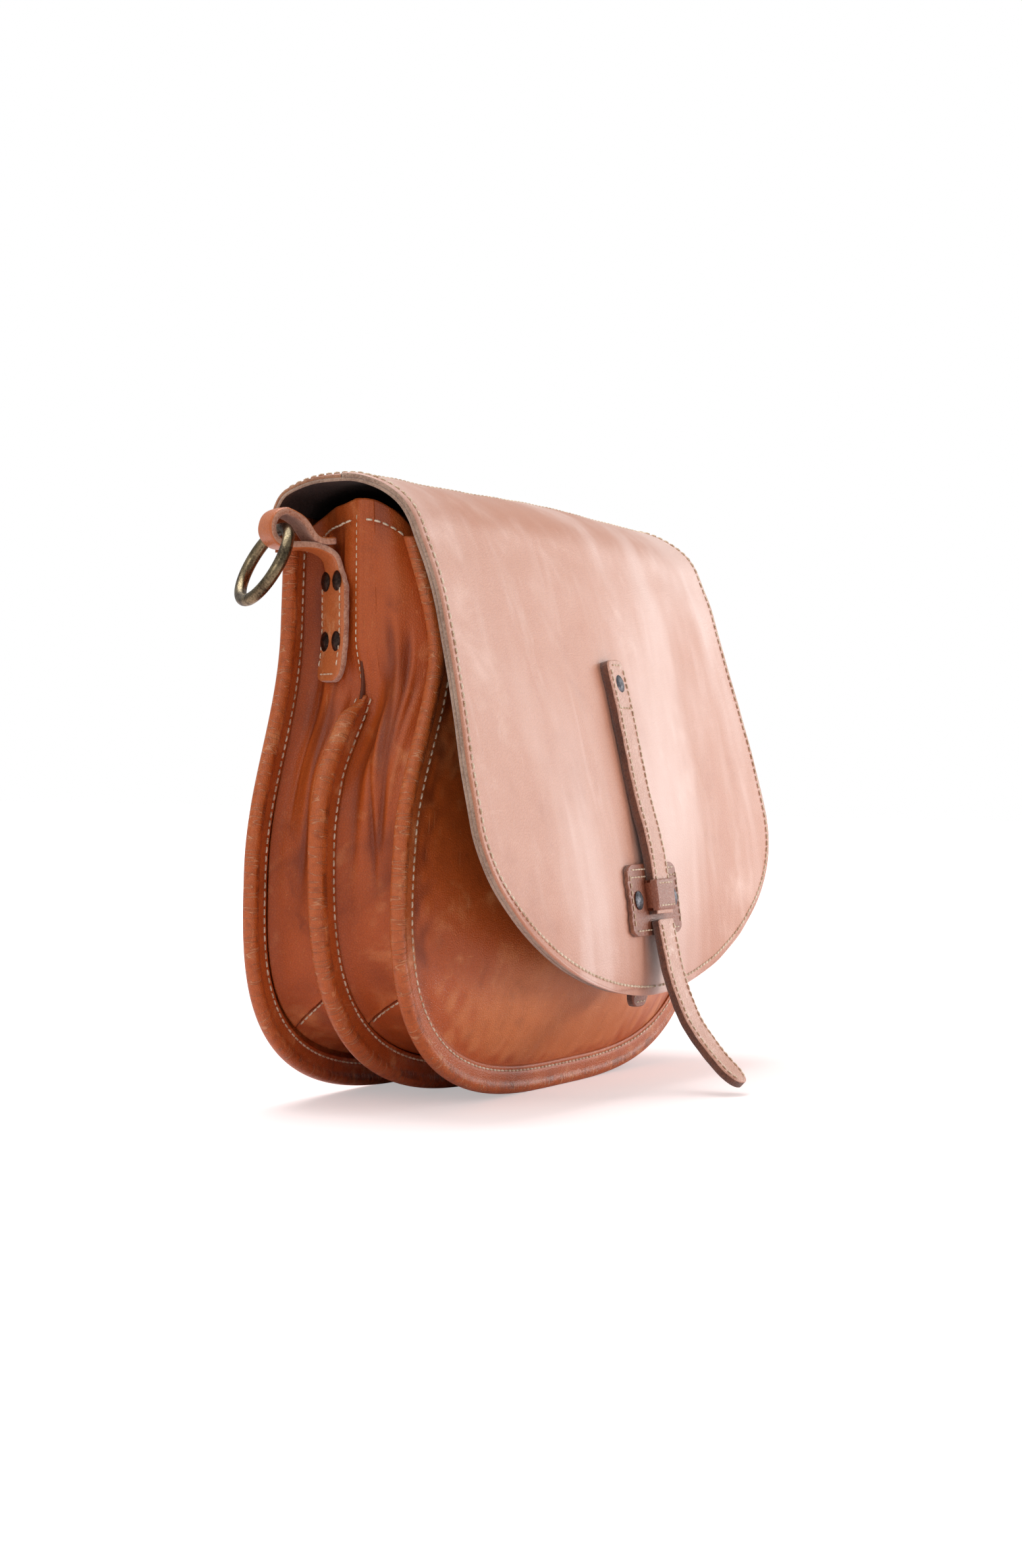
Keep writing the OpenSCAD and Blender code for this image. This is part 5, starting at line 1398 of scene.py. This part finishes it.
def flare(z):
    """How much further out the shoulder lies at a height than the neck does."""
    reach = []
    for rim in (REAR, MIDDLE):
        climbed = (1 - lobe_share) * (z - rim_lobe_z[rim]) / (rim_top_z[rim] - rim_lobe_z[rim])
        reach.append(rim_outline(rim, lobe_share + climbed, rim_top_z[rim])[0])
    return math.sin(flank_turn) * (np.maximum(*reach) - neck_half_w)


flat_low, flat_high = 193, 236
flat_z = np.linspace(flat_low, flat_high, 90)
low_leg = curve([[anchor_mid, LOOP_Z - loop_r - BEND - ANCHOR], [anchor_mid, LOOP_Z - loop_r - BEND],
                 [anchor_mid + BEND / 4, LOOP_Z - loop_r - BEND / 3], [anchor_mid + BEND, LOOP_Z - loop_r],
                 [LOOP_OUT, LOOP_Z - loop_r]], 16)
loop_turn = np.linspace(-math.pi / 2, math.pi / 2, 50)
bend = np.stack([LOOP_OUT + loop_r * np.cos(loop_turn), LOOP_Z + loop_r * np.sin(loop_turn)], -1)
tucked_z = LOOP_Z - loop_r + ANCHOR + 0.05
high_leg = curve([[LOOP_OUT, LOOP_Z + loop_r], [LOOP_OUT - loop_r, LOOP_Z + loop_r / 2],
                  [LOOP_OUT - 2 * loop_r, tucked_z], [anchor_mid + 1.5, tucked_z]], 16)
flat_leg = np.stack([anchor_mid + flare(flat_z), flat_z], -1)
low_leg = low_leg[low_leg[:, 1] > flat_high + 1]
anchor_line = spaced(np.concatenate([flat_leg, low_leg, bend[1:], high_leg[1:]]), 330)
anchor_run = lengths(anchor_line)
narrow_z, narrow_run, sewn_run, no_limit = 234, 70, 48, 99
narrow = smooth((anchor_line[:, 1] - narrow_z) / 10) * (anchor_run < narrow_run) + (anchor_run >= narrow_run)
anchor_half = np.minimum(rounded_half(anchor_run, ANCHOR_W / 2, 7), mix(ANCHOR_W / 2, LOOP_W / 2, narrow))
tongue = rounded_half(anchor_run, LOOP_W / 2, 0, 4) + no_limit * (anchor_run < narrow_run - 10)
anchor_half = np.minimum(anchor_half, tongue)
anchor_leather = leather("anchor_leather", rgb(158, 76, 34), rgb(206, 114, 60), rgb(236, 168, 118), cloud=34,
                         pore=620, scratches=0.8, gloss=0.36, coat=0.3)
anchor_edge = raw_edge("anchor_edge", rgb(176, 100, 66), rgb(240, 186, 156))


for side, side_name in ((-1, "left"), (1, "right")):
    # From the anchor's own frame to its flank: a turn about Z, a move and, on the right, a mirror image
    flip = np.array([-side, 1, 1])
    points, faces, kind = strap_leaf(anchor_line, anchor_half, -ANCHOR / 2 - 0.2, ANCHOR / 2 + 0.3,
                                     crown=0.2, round_edge=0.6, wave=0.18, seed=95)
    make_piece(f"anchor_{side_name}_leather", (points @ flank_axes + anchor_place) * flip, faces,
               [anchor_leather, anchor_edge, anchor_edge], "bag", [f"anchor_{side_name}"],
               face_material=kind)
    sewn = anchor_run < sewn_run
    rows = strap_rows(anchor_line[sewn], anchor_half[sewn], ANCHOR / 2 + 0.55, (3.0,), (4.5, 0.5), inset=2.8)
    rows = [((path @ flank_axes + anchor_place) * flip, facing @ flank_axes * flip) for path, facing in rows]
    sew(f"anchor_{side_name}_stitches", rows, cream_thread, "bag", "anchor_leather", pitch=3.6, long=2.8,
        thick=0.8)

# Metal. The rings are cast brass, aged brown with bright rubbed spots. The flap's rivets and the snap
# are gunmetal, and the anchors' rivets are burnished nearly black.


def metal(name, dark, bright, rough_low, rough_high, scale):
    """An aged metal: a patina of clouds and pits over the bright metal."""
    material, tree = node_tree(name)
    place = coordinates(tree)
    clouds = noise(tree, place, scale, 5, 0.65, 0.4)
    pits = noise(tree, place, scale * 9, 4, 0.7)
    mixed = plus(tree, times(tree, clouds, 0.65), times(tree, pits, 0.35))
    principled(tree, blended(tree, ranged(tree, mixed, 0.38, 0.62), dark, bright),
               ranged(tree, mixed, 0.35, 0.65, rough_high, rough_low), mixed, 0.00025, Metallic=1.0)
    return material


aged_brass = metal("aged_brass", rgb(70, 60, 48), rgb(158, 142, 112), 0.2, 0.42, 120.0)
gunmetal = metal("gunmetal", rgb(46, 46, 50), rgb(104, 104, 110), 0.32, 0.5, 300.0)
burnished = metal("burnished", rgb(34, 26, 24), rgb(92, 76, 68), 0.25, 0.5, 300.0)
for material, nodes in ((aged_brass, ("ring_left", "ring_right")),
                        (gunmetal, ("strap_rivet", "patch_rivets", "snap_post", "snap_socket")),
                        (burnished, ("anchor_rivets_left", "anchor_rivets_right"))):
    for node in nodes:
        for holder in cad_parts[node].material_slots:
            holder.material = material
